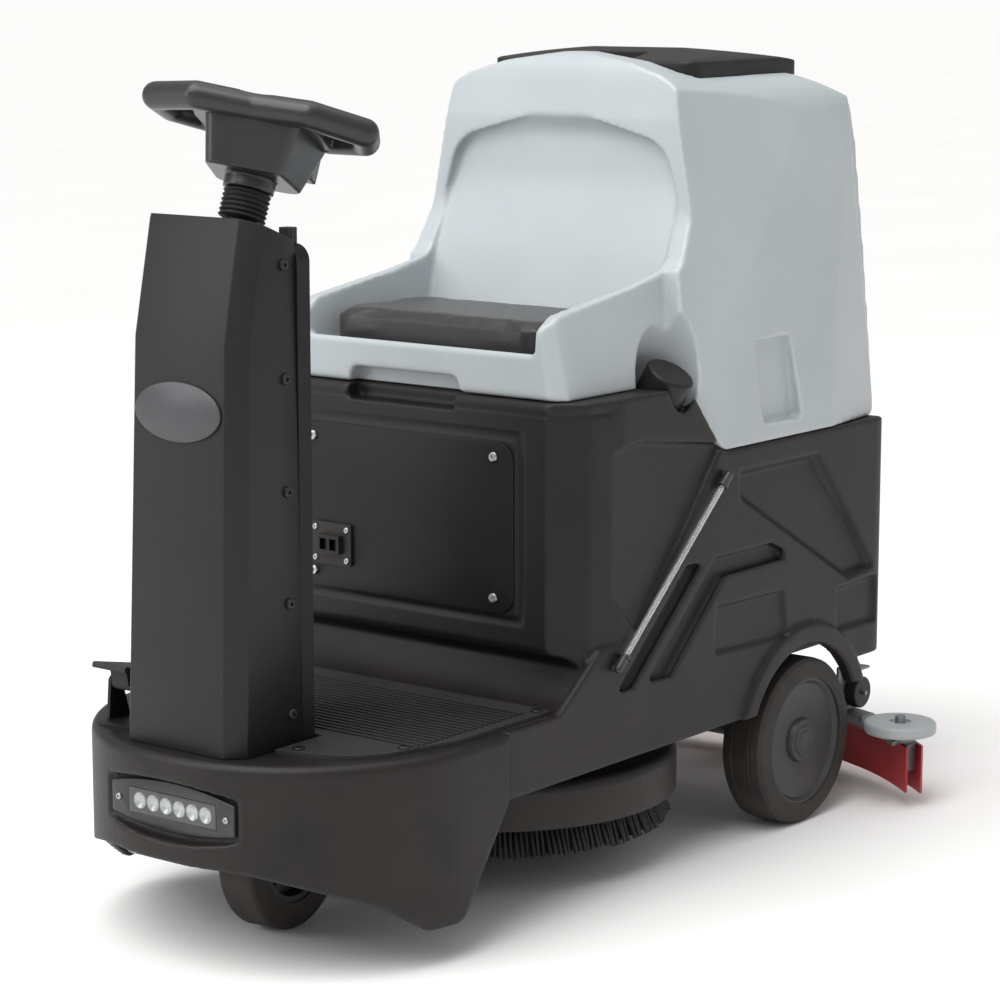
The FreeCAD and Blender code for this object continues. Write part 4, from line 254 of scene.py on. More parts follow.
def fair_copy(node, name):
    """Merged copy of a CAD node, ready for rounds on its edges."""
    piece = cad_nodes[node].copy()
    piece.data = cad_nodes[node].data.copy()
    piece.name = name
    piece.parent = None
    for key in list(piece.keys()):
        if key.startswith("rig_"):
            del piece[key]
    bpy.context.scene.collection.objects.link(piece)
    only(piece)
    bpy.ops.object.mode_set(mode="EDIT")
    bpy.ops.mesh.select_all(action="SELECT")
    bpy.ops.mesh.remove_doubles(threshold=1e-6)
    bpy.ops.mesh.dissolve_limited(angle_limit=math.radians(1.5))
    bpy.ops.object.mode_set(mode="OBJECT")
    return piece


def fitted(piece, body, slot, *replaced):
    """Gives a finished piece its body, its finish and the CAD nodes it stands for."""
    piece.data.materials.clear()
    piece.data.materials.append(finishes[slot])
    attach(piece, body)
    if replaced:
        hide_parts(*replaced)
    return piece


# ---- finishes --------------------------------------------------------------------------------
def linear(colour):
    """sRGB hex value as linear colour."""
    parts = [int(colour[i:i + 2], 16) / 255 for i in (1, 3, 5)]
    return [c / 12.92 if c <= 0.04045 else ((c + 0.055) / 1.055) ** 2.4 for c in parts] + [1.0]


def add(tree, kind, links=None, values=None, **settings):
    """Adds a node with its settings, linked inputs and input values."""
    node = tree.nodes.new(kind)
    for key, value in settings.items():
        setattr(node, key, value)
    for socket, source in (links or {}).items():
        tree.links.new(source, node.inputs[socket])
    for socket, value in (values or {}).items():
        node.inputs[socket].default_value = value
    return node


def finish(name, tones, rough, patch=140, grain=1.2, bump=0.15, depth=0.15, cells=False,
           stretch=None, dust=None, dust_top=420, wear_and_highlight=None, metallic=0.0, **shader):
    """One surface: two tones in patches, a grain that drives gloss and bump, and optional dust
    near the floor and pale sharp edges, which are scuffing on the black plastics and a painted
    highlight along the grey plastic's creases. Sizes are in mm; shader holds values for the
    surface's own sockets."""
    material = bpy.data.materials.new(name)
    material.use_nodes = True
    tree = material.node_tree
    tree.nodes.clear()
    place = add(tree, "ShaderNodeTexCoord").outputs["Object"]
    if stretch:
        place = add(tree, "ShaderNodeMapping", {"Vector": place},
                    {"Scale": stretch}).outputs["Vector"]
    cloudy = add(tree, "ShaderNodeTexNoise", {"Vector": place},
                 {"Scale": 1000 / patch, "Detail": 5.0, "Roughness": 0.6})
    if cells:
        fine = add(tree, "ShaderNodeTexVoronoi", {"Vector": place}, {"Scale": 1000 / grain},
                   feature="SMOOTH_F1").outputs["Distance"]
    else:
        fine = add(tree, "ShaderNodeTexNoise", {"Vector": place},
                   {"Scale": 1000 / grain, "Detail": 3.0, "Roughness": 0.65}).outputs["Fac"]
    share = add(tree, "ShaderNodeMapRange", {"Value": cloudy.outputs["Fac"]},
                {"From Min": 0.32, "From Max": 0.68})
    colour = add(tree, "ShaderNodeMix", {"Factor": share.outputs["Result"]},
                 {"A": linear(tones[0]), "B": linear(tones[1])}, data_type="RGBA").outputs["Result"]
    # pale tint on sharp convex edges: scuffing on the black plastics, a painted highlight along the
    # grey plastic's creases
    if wear_and_highlight:
        edge = add(tree, "ShaderNodeNewGeometry").outputs["Pointiness"]
        worn_and_lit = add(tree, "ShaderNodeMapRange", {"Value": edge},
                   {"From Min": 0.515, "From Max": 0.60, "To Max": 0.75})
        colour = add(tree, "ShaderNodeMix", {"Factor": worn_and_lit.outputs["Result"], "A": colour},
                     {"B": linear(wear_and_highlight)}, data_type="RGBA").outputs["Result"]
    if dust:
        height = add(tree, "ShaderNodeSeparateXYZ",
                     {"Vector": add(tree, "ShaderNodeTexCoord").outputs["Object"]}).outputs["Z"]
        low = add(tree, "ShaderNodeMapRange", {"Value": height},
                  {"From Min": 0.02, "From Max": dust_top * MM, "To Min": 0.65, "To Max": 0.0})
        settled = add(tree, "ShaderNodeMath",
                      {0: low.outputs["Result"], 1: share.outputs["Result"]},
                      operation="MULTIPLY")
        colour = add(tree, "ShaderNodeMix", {"Factor": settled.outputs["Value"], "A": colour},
                     {"B": linear(dust)}, data_type="RGBA").outputs["Result"]
    gloss = add(tree, "ShaderNodeMapRange", {"Value": fine},
                {"From Min": 0.25, "From Max": 0.75, "To Min": rough[0], "To Max": rough[1]})
    relief = add(tree, "ShaderNodeBump", {"Height": fine},
                 {"Strength": bump, "Distance": depth * MM})
    body = add(tree, "ShaderNodeBsdfPrincipled",
               {"Base Color": colour, "Roughness": gloss.outputs["Result"],
                "Normal": relief.outputs["Normal"]}, {"Metallic": metallic, **shader})
    add(tree, "ShaderNodeOutputMaterial", {"Surface": body.outputs["BSDF"]})
    return material


DUST = "#2F2A26"
finishes = {
    # powder-coated steel: even fine orange peel, low sheen, a little floor dust
    "frame_steel": finish("powder_coated_steel_black", ("#101011", "#161617"), (0.42, 0.56),
                          grain=2.4, bump=0.2, dust=DUST, **{"Specular IOR Level": 0.3}),
    # rotomoulded polyethylene: warm black, fine cast texture, pale worn edges, dust low down
    "black_plastic": finish("rotomoulded_polyethylene_black", ("#141312", "#1B1918"), (0.40, 0.58),
                            grain=2.2, bump=0.22, depth=0.2, wear_and_highlight="#34302D", dust=DUST,
                            **{"Specular IOR Level": 0.34}),
    # injection-moulded ABS: tighter grain and more gloss than the tanks
    "head_plastic": finish("moulded_abs_satin_black", ("#262627", "#2C2C2D"), (0.26, 0.38),
                           grain=1.6, bump=0.12, wear_and_highlight="#3C3C3F"),
    # rotomoulded polyethylene: pale cool grey, waxy sheen, faint cloudiness; its pale edge tint is a
    # painted highlight along the creases
    "grey_plastic": finish("rotomoulded_polyethylene_grey", ("#A9B0B3", "#B1B7BA"), (0.30, 0.42),
                           patch=260, grain=2.6, bump=0.10, depth=0.2, wear_and_highlight="#D0D5D6"),
    # powder-coated sheet steel: dark grey, even, with slight orange peel
    "column_paint": finish("powder_coated_sheet_dark_grey", ("#1B1B1D", "#202022"), (0.36, 0.48),
                           grain=2.8, bump=0.16, **{"Specular IOR Level": 0.3}),
    # ribbed EPDM matting: dull, greyed by shoes
    "mat_rubber": finish("epdm_matting", ("#211F1F", "#292726"), (0.62, 0.80), patch=90, grain=1.8,
                         bump=0.35, depth=0.2, dust="#2C2926", dust_top=900),
    # vacuum-metallised plastic: bright mirror cups
    "reflector": finish("metallised_reflector", ("#C4C7CA", "#D6D8DA"), (0.14, 0.24), patch=30,
                        grain=4.0, bump=0.03, metallic=0.5),
    # clear polycarbonate cover
    "lens": finish("clear_polycarbonate", ("#F4F6F6", "#FAFBFB"), (0.03, 0.07), grain=6.0,
                   bump=0.02, IOR=1.58, **{"Transmission Weight": 0.94}),
    # satin film over a plain plate
    "badge_plate": finish("satin_polyester_plate", ("#3E3E41", "#444448"), (0.24, 0.34), grain=3.0,
                          bump=0.05),
    # black oxide on machined steel: dark with metal glints
    "black_steel": finish("black_oxide_steel", ("#2B2A2A", "#38373A"), (0.30, 0.46), patch=20,
                          grain=0.9, bump=0.1, metallic=0.6),
    # zinc plate: bright bluish grey, slightly clouded
    "zinc": finish("zinc_plated_steel", ("#9FA2A5", "#BDBFC0"), (0.22, 0.38), patch=18, grain=1.0,
                   bump=0.12, metallic=1.0, dust="#6E675E", dust_top=300),
    # moulded red nylon of the stop button
    "stop_red": finish("moulded_nylon_red", ("#A81E1E", "#B52424"), (0.24, 0.34), grain=1.5,
                       bump=0.06),
    # cast and painted motor housing
    "motor_case": finish("painted_aluminium_casting", ("#252629", "#2F3033"), (0.45, 0.6), patch=40,
                         grain=1.6, bump=0.4, depth=0.3, dust=DUST),
    # solid rubber tyre: matt, scuffed brown-grey on the tread
    "tyre": finish("solid_rubber_tyre", ("#211F1D", "#2C2825"), (0.60, 0.82), patch=45, grain=1.5,
                   bump=0.4, depth=0.3, dust="#3E362F", dust_top=330),
    # glass-filled nylon wheel centre: slate grey with a soft sheen
    "rim_plastic": finish("glass_filled_nylon_slate", ("#2A2C2F", "#313336"), (0.36, 0.50),
                          grain=1.8, bump=0.18, dust="#3D3935", dust_top=330),
    # clear PVC tube and cast acrylic bowl
    "clear_plastic": finish("clear_pvc", ("#EDF0EE", "#F6F8F6"), (0.05, 0.10), grain=4.0, bump=0.03,
                            IOR=1.50, **{"Transmission Weight": 0.85}),
    # polypropylene battery case: matt black-grey
    "battery_case": finish("polypropylene_battery_case", ("#2E3034", "#36383C"), (0.42, 0.56),
                           grain=1.6, bump=0.2),
    # polypropylene bristle: dark strands with pale streaks along them
    "bristle": finish("polypropylene_bristle", ("#121110", "#2B2826"), (0.45, 0.65), patch=3,
                      grain=0.9, bump=0.6, depth=0.4, stretch=(1, 1, 0.12), dust="#302B27",
                      dust_top=160),
    # sand-cast aluminium: light grey, pitted, half dull
    "cast_alloy": finish("cast_aluminium", ("#85888B", "#9A9DA0"), (0.40, 0.60), patch=35,
                         grain=1.3, bump=0.45, depth=0.3, metallic=0.75, dust="#6B645C",
                         dust_top=260),
    # polyurethane blade: deep red, slightly translucent and smeared
    "blade_rubber": finish("polyurethane_blade_red", ("#9E1F25", "#B32A32"), (0.30, 0.5), patch=50,
                           grain=1.8, bump=0.12, **{"Subsurface Weight": 0.15,
                                                    "Subsurface Scale": 0.004}),
    # polyurethane roller: pale blue-grey, soft sheen
    "roller_plastic": finish("polyurethane_roller", ("#A1A7AB", "#AFB4B7"), (0.34, 0.48), patch=30,
                             grain=1.6, bump=0.14, dust="#8A847B", dust_top=260),
    # hard rubber caster tread
    "caster_rubber": finish("caster_rubber", ("#262525", "#312F2E"), (0.5, 0.7), patch=20,
                            grain=1.2, bump=0.3, dust=DUST),
    # vinyl upholstery: small leather-like cells, dark warm grey, low gloss
    "seat_vinyl": finish("upholstery_vinyl", ("#1E1C1C", "#242222"), (0.34, 0.52), patch=160,
                         grain=2.2, bump=0.32, depth=0.25, cells=True, **{"Sheen Weight": 0.12,
                                                                         "Sheen Roughness": 0.5}),
}
for part in frame["record"]["subparts"]:
    node = cad_nodes[part["node"]]
    node.data.materials.clear()
    node.data.materials.append(finishes[part["material_slot"]])


# ---- camera, light and floor -----------------------------------------------------------------
camera = bpy.data.objects.new("camera", bpy.data.cameras.new("camera"))
camera.data.lens = 108
camera.data.sensor_width = 36
camera.location = (2.6, -3.335, 1.25)
camera.rotation_euler = (math.radians(80.07), 0, math.radians(37.97))
bpy.context.scene.collection.objects.link(camera)
bpy.context.scene.camera = camera
bpy.context.scene.view_settings.view_transform = "Standard"


def softbox(name, place, towards, size, watts):
    """Large studio lamp aimed at a point."""
    lamp = bpy.data.objects.new(name, bpy.data.lights.new(name, "AREA"))
    lamp.data.shape = "RECTANGLE"
    lamp.data.size, lamp.data.size_y = size
    lamp.data.energy = watts
    lamp.location = place
    lamp.rotation_euler = (Vector(towards) - Vector(place)).to_track_quat("-Z", "Y").to_euler()
    bpy.context.scene.collection.objects.link(lamp)


softbox("overhead_softbox", (0.2, -0.2, 3.2), (0, 0, 0.5), (2.6, 2.8), 30)
softbox("front_softbox", (-2.4, -3.6, 2.0), (0, 0, 0.6), (1.8, 2.4), 40)
softbox("side_strip", (3.8, 1.2, 1.9), (0, 0.1, 0.5), (0.9, 2.4), 4)
sun = bpy.data.objects.new("diffused_key", bpy.data.lights.new("diffused_key", "SUN"))
sun.data.energy = 2.35
sun.data.angle = math.radians(55)
sun.rotation_euler = Vector((-0.08, -0.52, 0.80)).to_track_quat("Z", "Y").to_euler()
bpy.context.scene.collection.objects.link(sun)
world = bpy.data.worlds.new("studio")
world.use_nodes = True
world.node_tree.nodes["Background"].inputs["Color"].default_value = (1, 1, 1, 1)
world.node_tree.nodes["Background"].inputs["Strength"].default_value = 0.46
bpy.context.scene.world = world

bpy.ops.object.select_all(action="DESELECT")
bpy.ops.mesh.primitive_plane_add(size=420, location=(0, 0, -0.0005))
floor = settle(bpy.context.object, "studio_floor")
# matt white studio paint: barely clouded, so the soft shadow reads
floor.data.materials.append(finish("matt_studio_paint", ("#F6F5F4", "#F9F8F7"), (0.80, 0.92),
                                   patch=900, grain=3.0, bump=0.04))


# ---- clean-water tank, black -----------------------------------------------------------------
tank = slab("clean_water_tank", rounded([
    (-194, 347, 14), (-194, 690, 10), (64, 690, 20), (150, 588, 25), (614, 588, 28),
    (614, 224, 12), (-158, 224), (-158, 341, 30)]), -BODY_X, BODY_X, "X")
worked(tank, "INTERSECT", slab("plan", rounded(both_halves([
    (226, -194), (268, -152, 20), (BODY_X, -92, 40), (BODY_X, 614, 44)])), 0, 800))
for side in (1, -1):
    fused(tank, slab("cheek", rounded([(-344, 188), (-344, 280), (-234, 280, 20), (-140, 353),
                                       (370, 353), (370, 188)]), *span(side, 268, BODY_X), "X"))
    lip = drum("arch_lip", (side * 277, *REAR_AXLE), (1, 0, 0), 177, 22)
    fused(tank, cut(lip, block("below", -400, 400, -400, 900, -100, 188)))
cut(tank, block("underside", -268, 268, -354, 664, 0, 280.5))
sweep = [(-228 + 70 * math.sin(math.radians(a)), 350.4 - 70 * math.cos(math.radians(a)))
         for a in range(0, 91, 10)]
fused(tank, slab("heel_sweep", [(-228, 268)] + sweep + [(-140, 350.4), (-140, 268)],
                 -268, 268, "X"))
for side in (1, -1):
    cut(tank, drum("arch", (side * 302, *REAR_AXLE), (1, 0, 0), 147, 196))
    # slanting tie-down channels, scribed pads and faceted recess of the side wall
    grooves = (([(62, 438, 4), (101, 435, 4), (-65, 287, 4), (-104, 286, 4)], 12),
               ([(-32, 289, 4), (27, 286, 4), (158, 408, 8), (315, 409, 3), (312, 424, 4),
                 (279, 438, 6), (134, 437, 8)], 12),
               ([(137, 367, 4), (312, 363, 4), (323, 291, 4), (134, 298, 4)], 5),
               ([(193, 555, 6), (403, 554, 6), (570, 359, 6), (491, 351, 8), (196, 514, 8)], 6),
               ([(200, 549, 6), (392, 548, 6), (408, 524, 8), (488, 446, 8), (556, 362, 4),
                 (493, 358, 8), (202, 518, 8)], 12),
               ([(460, 341, 5), (575, 346, 5), (578, 272, 5), (465, 275, 5)], 7))
    for line, sunk in grooves:
        cut(tank, slab("channel", rounded(line, 3), *span(side, BODY_X - sunk, 320), "X"))
    panel = slab("side_field", rounded([
        (150, 600), (-46, 627, 30), (-107, 620, 20), (-140, 602, 20), (-147, 455, 20),
        (-112, 418, 20), (-60, 365), (40, 470)], 4),
                 *span(side, 270, 320), "X")
    cut(tank, sliced(panel, (side * 276.4, -147, 500), (-side * 1.0, -0.018, 0)))
cut(tank, drum("cap_dish", FILLER + NECK * 73, NECK, 45, 120))
fused(tank, drum("filler_neck", FILLER + NECK * 27, NECK, 30, 54))
cut(tank, block("battery_bay", -196, 196, -150, 150, 290, 800))
cut(tank, block("hand_pocket", -122, 68, -210, -166, 668, 700))
ledge = block("ledge", -300, 300, -230, -110, 670.5, 676)
cut(tank, cut(ledge, slab("inside", rounded(both_halves([(225, -190.5), (264.5, -151, 20),
                                                        (276, -90), (276, -60)])), 600, 800)))
frame_line = slab("panel_frame", rounded([(-220, 381, 10), (189, 381, 10), (189, 648, 10),
                                          (-220, 648, 10)]), -230, -190.5, "Y")
cut(tank, cut(frame_line, slab("panel_seat", [(-206, 394), (175, 394), (175, 634), (-206, 634)],
                               -240, -180, "Y")))
moulded(tank, 3.4, 2, 0.42)
fitted(tank, "machine", "black_plastic", "solution_tank")


# ---- dirty-water tank and seat shell, grey -----------------------------------------------------
low_line = [(277, 60), (281, 205), (281, 436), (257, 604)]
high_line = [(212, 120), (236, 165), (236, 536), (216, 568)]
shell = slab("dirty_water_tank", both_halves(low_line), 578, 1148, "Z", both_halves(high_line))
fused(shell, slab("seat_base", both_halves([(262, 580), (222, 803), (214, 900)]), -196, 130, "Y"))
worked(shell, "INTERSECT", slab("side_view", rounded([
    (-186, 691, 8), (-186, 786, 14), (-160, 803, 24), (10, 828), (96, 846, 36), (131, 915, 60),
    (133, 1050, 60), (146, 1143, 44), (372, 1139, 60), (562, 1064, 30), (586, 970, 60),
    (594, 589, 12), (154, 589, 24), (64, 691, 20)]), -310, 310, "X"))
worked(shell, "INTERSECT", slab("front_view", rounded(both_halves([
    (300, 500), (284, 570), (219, 1112, 150), (110, 1129, 150), (20, 1142, 60)])), -220, 640, "Y",
    rounded(both_halves([(301, 500), (285, 570), (238, 1092, 46), (111, 1128, 150),
                         (21, 1141, 60)]))))
for side in (1, -1):
    a = Vector((side * 268, 186, 762))
    b = Vector((side * 245, 462, 1047))
    c = Vector((side * 210, 140, 1040))
    out = (b - a).cross(c - a)
    planed(shell, a, out if out.x * side > 0 else -out)
    planed(shell, (side * 223, -178, 745), (side * 0.74, -0.66, 0.12))
well = slab("seat_well", rounded(both_halves([(197, 738), (209, 860), (207, 940), (186, 1016, 60),
                                              (30, 1056, 200)])), -246, 170, "Y")
worked(well, "INTERSECT", slab("back_face", rounded([
    (-246, 738), (72, 738, 30), (112, 862, 120), (146, 950, 160), (150, 1030, 30), (120, 1070),
    (-246, 1070)]), -300, 300, "X"))
cut(shell, cut(well, slab("front_lip", [(-246, 738), (-164, 738), (-176, 752), (-246, 752)],
                          -300, 300, "X")))
cut(shell, block("throat", -158, 158, 229, 476, 820, 1300))
cut(shell, slab("lid_seat", rounded(both_halves([(182.5, 204.5, 26), (176.5, 500.5, 26)])),
                1067.7, 1300))
cut(shell, drum("cap_room", FILLER + NECK * 50, NECK, 58, 160))
cut(shell, slab("lift_grip", rounded([(-129, 685), (75, 685), (65, 713, 10), (-119, 713, 10)]),
                -206, -162, "Y"))
cut(shell, block("over_batteries", -180, 180, -140, 30, 600, 714))
for side in (1, -1):
    recess = slab("side_recess", rounded([(244, 734, 8), (336, 735, 8), (362, 611, 8),
                                          (258, 615, 8)]),
                  *span(side, 259, 320), "X")
    cut(shell, recess)
    fused(shell, slab("lid_ear", rounded([(501, 1105, 6), (515, 1105, 6), (524, 1068),
                                          (506, 1068)]),
                      *span(side, 40.5, 48.5), "X"))
cut(shell, drum("knuckle_room", LID_HINGE, (1, 0, 0), 8.5, 81))
moulded(shell, 3.6, 3, 0.46)
fitted(shell, "seat_tank", "grey_plastic", "recovery_tank")
barrel = fused(drum("hinge_knuckle", TANK_HINGE, (1, 0, 0), 12, 120),
               block("hinge_arm", -60, 60, 582, 618, 589, 602))
cut(barrel, drum("hinge_bore", TANK_HINGE, (1, 0, 0), 6.1, 200))
fitted(edged(barrel, 1.5), "seat_tank", "grey_plastic")

lid = slab("tank_lid_panel", rounded(both_halves([(182, 205, 26), (176, 500, 26)])), 1068, 1148)
worked(lid, "INTERSECT", slab("crown", [(192, 1000), (192, 1118)] + [
    (192 * math.cos(math.radians(a)), 1118 + 30 * math.sin(math.radians(a)))
    for a in range(8, 173, 8)]
    + [(-192, 1118), (-192, 1000)], 200, 505, "Y"))
worked(lid, "INTERSECT", slab("fall", rounded([(200, 1000), (200, 1128), (325, 1146, 80),
                                               (505, 1124), (505, 1000)]), -192, 192, "X"))
cut(lid, slab("hand_hollow", rounded(both_halves([(62, 219, 16), (52, 285, 16)])), 1124, 1160))
cut(lid, block("lid_inside", -142, 142, 295, 440, 1040, 1082))
fused(lid, drum("lid_knuckle", LID_HINGE, (1, 0, 0), 7, 80),
      block("lid_web", -40, 40, 486, 508, 1095, 1105))
cut(lid, drum("lid_bore", LID_HINGE, (1, 0, 0), 3.1, 200))
moulded(lid, 3.0, 3)
fitted(lid, "lid", "black_plastic", "tank_lid")


# ---- nose and foot deck ------------------------------------------------------------------------
def nose_plan(inset):
    return rounded(both_halves([(284 - inset, -700 + inset, 270 - inset), (284 - inset, -205)]), 24)


nose = slab("nose_moulding", nose_plan(0), 45, 280)
only(nose)
bpy.ops.object.mode_set(mode="EDIT")
bpy.ops.mesh.select_all(action="DESELECT")
bpy.ops.object.mode_set(mode="OBJECT")
for edge in nose.data.edges:
    ends = [nose.data.vertices[v].co for v in edge.vertices]
    edge.select = all(v.z > 0.279 for v in ends) and not all(v.y > -0.206 for v in ends)
bpy.ops.object.mode_set(mode="EDIT")
bpy.ops.mesh.bevel(offset=0.012, segments=4, affect="EDGES")
bpy.ops.object.mode_set(mode="OBJECT")
hollow = slab("hollow", nose_plan(14), 20, 268)
fused(hollow, block("behind", -270, 270, -265, -195, 20, 268))
cut(nose, hollow)
cut(nose, block("cheek_room", 267.5, 400, -344.5, -195, 0, 290),
    block("cheek_room", -400, -267.5, -344.5, -195, 0, 290))


def lamp_face(grow):
    x, z = 107 + grow, 33 + grow
    top = [(x * (1 - k / 6), LAMP_Z + z - 13 * (1 - k / 6) ** 2) for k in range(13)]
    return top + [(a, 2 * LAMP_Z - b) for a, b in reversed(top)]


backing = slab("lamp_backing", lamp_face(14), -700, -668, "Y")
worked(backing, "INTERSECT", slab("nose_bound", nose_plan(0), 50, 280))
fused(nose, backing)
cut(nose, slab("lamp_recess", lamp_face(7), -720, -676, "Y"))
cut(nose, slab("apron_line", rounded([(-750, 140), (-680, 140, 60), (-560, 90.5, 60),
                                      (-500, 50, 25), (-440, 50, 25), (-344, 188, 12),
                                      (-155, 188), (-155, -50),
                                      (-750, -50)]), -330, 330, "X"))
cut(nose, drum("shaft_hole", (0, -575, 280), (0, 0, 1), 15, 60),
    drum("pedal_hole", (-146, -612, 280), (0, 0, 1), 9, 60))
moulded(nose, 3.2, 3, 0.42)
fitted(nose, "machine", "black_plastic", "front_deck")


# ---- steering head -----------------------------------------------------------------------------
HEAD = (Matrix.Translation(Vector(STEERING_JOINT) * MM)
        @ Matrix.Rotation(math.radians(-COLUMN_LEAN), 4, "X")
        @ Matrix.Rotation(math.radians(YOKE_TURN), 4, "Z"))


def on_head(piece, name):
    """Puts a piece drawn upright round the shaft onto the leaning, turned head."""
    piece.matrix_world = HEAD
    return settle(piece, name)


def bar(name, start, end, radius):
    """Round bar with round ends between two points, lying at the yoke's height."""
    a, b = Vector((*start, YOKE_S)), Vector((*end, YOKE_S))
    piece = drum(name, (a + b) / 2, b - a, radius, (b - a).length, sides=32)
    for end_point in (a, b):
        bpy.ops.object.select_all(action="DESELECT")
        bpy.ops.mesh.primitive_uv_sphere_add(segments=32, ring_count=16, radius=radius * MM * 1.001,
                                             location=end_point * MM)
        fused(piece, settle(bpy.context.object, "ball"))
    return piece


yoke = slab("yoke", rounded(both_halves([(40, -66, 20), (74, -68, 20), (84, -30, 20), (84, 40, 20),
                                         (40, 78, 20)])), 230, 260)
for side in (1, -1):
    wing = ((0, -58), (74, -68), (138, -25), (130, 25), (78, 52))
    for start, end in zip(wing, wing[1:]):
        fused(yoke, bar("rim", (side * start[0], start[1]), (side * end[0], end[1]), 18.5))
cut(yoke, drum("dash_seat", (0, 0, 267), (0, 0, 1), 66.3, 60),
    drum("yoke_bore", (0, 0, 243), (0, 0, 1), 54, 32))
moulded(yoke, 2.4, 7)
fitted(on_head(yoke, "steering_yoke_rims"), "steering", "head_plastic", "steering_yoke")

foot = [(50, -54, 16), (58, 60, 22), (-58, 60, 22), (-50, -54, 16)]
crown = [(62, -66, 16), (76, 82, 22), (-76, 82, 22), (-62, -66, 16)]
shroud = slab("shroud", rounded(foot), 168, 236, "Z", rounded(crown))
fused(shroud, drum("collar", (0, 0, 160), (0, 0, 1), 33, 19),
      block("lock_lug", 30, 60, 66, 96, 193, 232))
cut(shroud, block("open_top", -40, 40, -36, 52, 182, 250))
fused(shroud, drum("boss", (0, 0, 198), (0, 0, 1), 18, 56))
moulded(shroud, 1.8, 4)
cut(shroud, drum("shaft_bore", (0, 0, 190), (0, 0, 1), 9.2, 120))
fitted(on_head(shroud, "column_shroud"), "steering", "head_plastic", "hub_shroud")

FOLDS = 6
pitch = 38 / FOLDS
outer = [(26, 112)]
for fold in range(FOLDS):
    s = 112 + fold * pitch
    outer += [(26.5, s + 0.6), (29.5, s + pitch * 0.22), (31, s + pitch * 0.5),
              (29.5, s + pitch * 0.78), (26.5, s + pitch - 0.6)]
outer += [(26, 150), (23, 150), (23, 116), (10, 116), (10, 112)]
bellows = turned("rubber_bellows", outer, (0, 0, 0), (0, 0, 1))
only(bellows)
bpy.ops.object.shade_smooth_by_angle(angle=math.radians(50))
bellows.matrix_world = HEAD
fitted(settle(bellows, "rubber_bellows"), "tilt_head", "caster_rubber", "steering_bellows")


# ---- seat cushion ------------------------------------------------------------------------------
def stuffed(piece, cap):
    """Swells a pad with a short cloth run, held within cap of where it started."""
    start = [v.co.copy() for v in piece.data.vertices]
    only(piece)
    cloth = piece.modifiers.new("stuffing", "CLOTH")
    cloth.settings.use_pressure = True
    cloth.settings.uniform_pressure_force = 4
    cloth.settings.effector_weights.gravity = 0
    cloth.collision_settings.use_collision = False
    for step in range(1, 21):
        bpy.context.scene.frame_set(step)
    bpy.ops.object.modifier_apply(modifier=cloth.name)
    bpy.context.scene.frame_set(1)
    for vertex, at in zip(piece.data.vertices, start):
        move = vertex.co - at
        if move.length > cap * MM:
            vertex.co = at + move.normalized() * cap * MM
    return piece


cushion = slab("seat_pad", rounded(both_halves([(191, -160, 30), (191, 54, 24)])), 742, 782)
applied(cushion, "REMESH", mode="VOXEL", voxel_size=0.005, use_smooth_shade=True)
applied(cushion, "SMOOTH", factor=0.5, iterations=6)
stuffed(cushion, 8)
for vertex in cushion.data.vertices:
    vertex.co.z = max(vertex.co.z, SEAT_PAN * MM)
applied(cushion, "SUBSURF", levels=1, render_levels=1)
applied(cushion, "SMOOTH", factor=0.5, iterations=4)
fitted(cushion, "seat_tank", "seat_vinyl", "seat_cushion")


# ---- wheels ------------------------------------------------------------------------------------
def road_wheel(side, name, body):
    """Rear wheel: solid tyre, dished centre with a recessed ring and a stepped hub cap."""
    out = side * WHEEL_OUT_X
    tread = [(95, 0), (112, 0), (119, 2), (124, 7), (125, 14), (125, 20), (124.2, 21.5),
             (125, 23), (125, 49), (124.2, 50.5), (125, 52), (125, 58), (124, 65), (119, 70),
             (112, 72), (95, 72)]
    tyre = turned(name + "_rubber", tread, (out, *REAR_AXLE), (-side, 0, 0), 96)
    dish = [(0, 2), (13, 2), (15, 3.5), (18, 3.5), (20, 2), (22, 2), (24, 5), (31, 5), (33, 8),
            (34, 12), (86, 9.5), (89, 6), (91, 3.5), (95, 3), (95, 68), (86, 68), (86, 38),
            (30, 38), (30, 70), (13, 70), (13, 12), (0, 12)]
    rim = turned(name + "_centre", dish, (out, *REAR_AXLE), (-side, 0, 0), 96)
    for piece in (tyre, rim):
        only(piece)
        bpy.ops.object.shade_smooth_by_angle(angle=math.radians(28))
    fitted(tyre, body, "tyre", body.replace("wheel", "tyre"))
    fitted(rim, body, "rim_plastic", body.replace("wheel", "rim"))


road_wheel(1, "left_road_wheel", "left_wheel")
road_wheel(-1, "right_road_wheel", "right_wheel")


# ---- brush -------------------------------------------------------------------------------------
pattern = drum("tuft", (0, 0, -20), (0, 0, -1), 2.3, 40, top=3.6, sides=6)
tufts = []
for ring, count in ((112, 60), (138, 74), (164, 88), (190, 120), (214, 170), (226, 190),
                    (238, 205)):
    for k in range(count):
        angle = 2 * math.pi * (k + 0.5 * (ring % 4 == 0)) / count
        out = Vector((math.cos(angle), math.sin(angle), 0))
        lean = 0.30 + 0.30 * rng.random() if ring > 220 else 0.08 + 0.1 * rng.random()
        way = (Vector((0, 0, -1)) + out * lean * (ring / 238) ** 2).normalized()
        spot = (BRUSH_TOP + out * ring) * MM
        tuft = pattern.copy()
        tuft.data = pattern.data.copy()
        reach = 1 + rng.uniform(-0.06, 0.02)
        tuft.data.transform(Matrix.Translation(spot)
                            @ Vector((0, 0, -1)).rotation_difference(way).to_matrix().to_4x4()
                            @ Matrix.Diagonal((1, 1, reach, 1)))
        bpy.context.scene.collection.objects.link(tuft)
        tufts.append(tuft)
bpy.data.objects.remove(pattern)
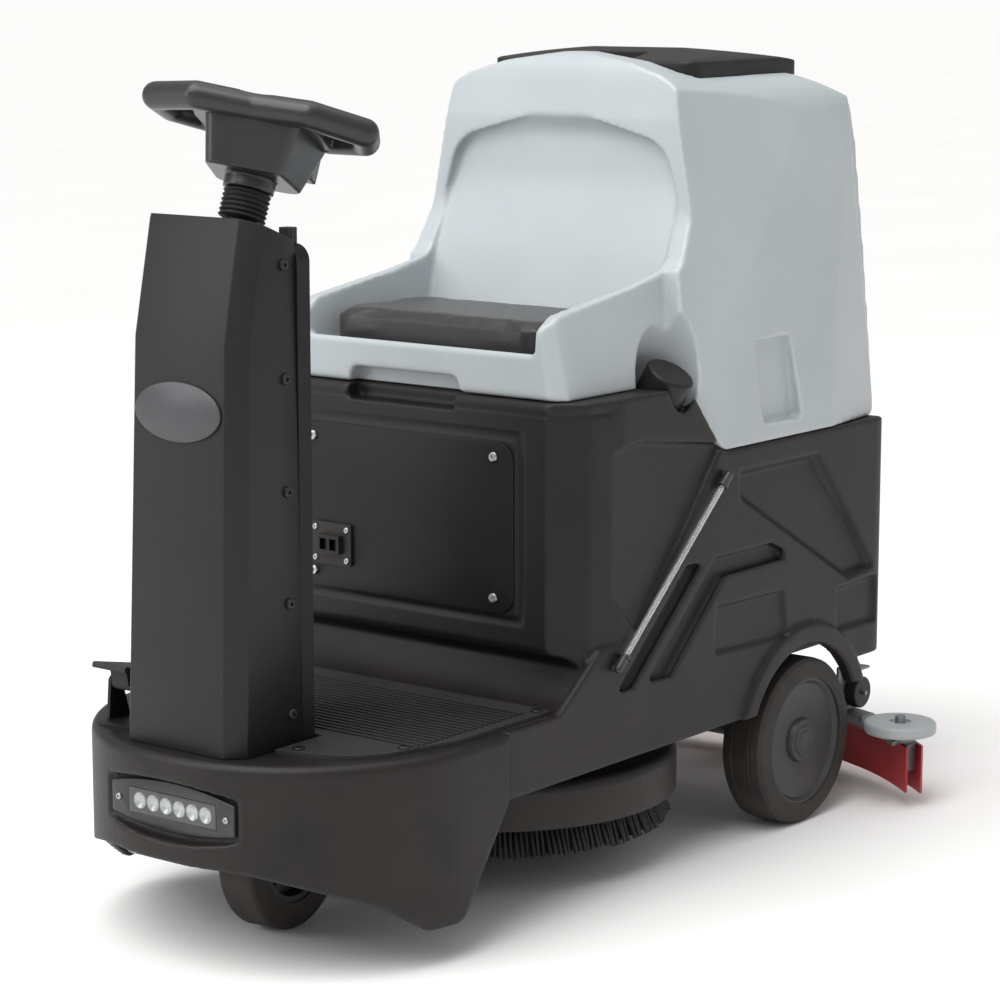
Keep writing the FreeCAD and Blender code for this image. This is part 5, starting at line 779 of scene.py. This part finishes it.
brush = joined("scrub_brush_tufts", tufts)
only(brush)
bpy.ops.object.shade_smooth_by_angle(angle=math.radians(60))
fitted(brush, "brush", "bristle", "brush_bristles")


# ---- sight tube --------------------------------------------------------------------------------
tube_low = Vector((288.5, -112, 324))
tube_top = Vector((288.5, 151, 556))
along = (tube_top - tube_low).normalized()
run = (tube_top - tube_low).length
sight = turned("sight_tube", [(2.6, 0), (4.2, 0), (4.2, run - 20), (2.6, run - 20)],
               tube_low + along * 10, along, 32)
only(sight)
bpy.ops.object.shade_smooth_by_angle(angle=math.radians(40))
fitted(sight, "machine", "clear_plastic", "level_tube")
for name, end, way in (("lower", tube_low, along), ("upper", tube_top, -along)):
    elbow = drum("elbow", end + way * 11, way, 6.4, 22, sides=32)
    bpy.ops.object.select_all(action="DESELECT")
    bpy.ops.mesh.primitive_uv_sphere_add(segments=32, ring_count=16, radius=0.0065,
                                         location=end * MM)
    knee = settle(bpy.context.object, "knee")
    fused(elbow, knee, drum("stub", end + Vector((-9, 0, 0)), (1, 0, 0), 4.8, 18, sides=32),
          drum("clip", end + way * 20, way, 7.6, 4, sides=32))
    elbow.name = name + "_sight_elbow"
    fitted(edged(elbow, 0.6), "machine", "head_plastic")


# ---- small wheels and pressed parts -----------------------------------------------------------
for node, name, body, slot, width in (
        ("column_cover", "column_sheet", "machine", "column_paint", 1.6),
        ("badge", "plain_plate", "machine", "badge_plate", 1.2),
        ("light_bezel", "lamp_bezel", "machine", "head_plastic", 1.6),
        ("battery_panel", "box_panel", "machine", "frame_steel", 0.9),
        ("squeegee_body", "squeegee_casting", "squeegee", "cast_alloy", 1.0),
        ("left_roller", "left_wall_roller", "left_roller", "roller_plastic", 1.2),
        ("right_roller", "right_wall_roller", "right_roller", "roller_plastic", 1.2),
        ("dash_panel", "dash_plate", "steering", "head_plastic", 1.0)):
    fitted(edged(fair_copy(node, name), width), body, slot, node)

for name, node in cad_nodes.items():
    only(node)
    bpy.ops.object.shade_smooth_by_angle(angle=math.radians(30))
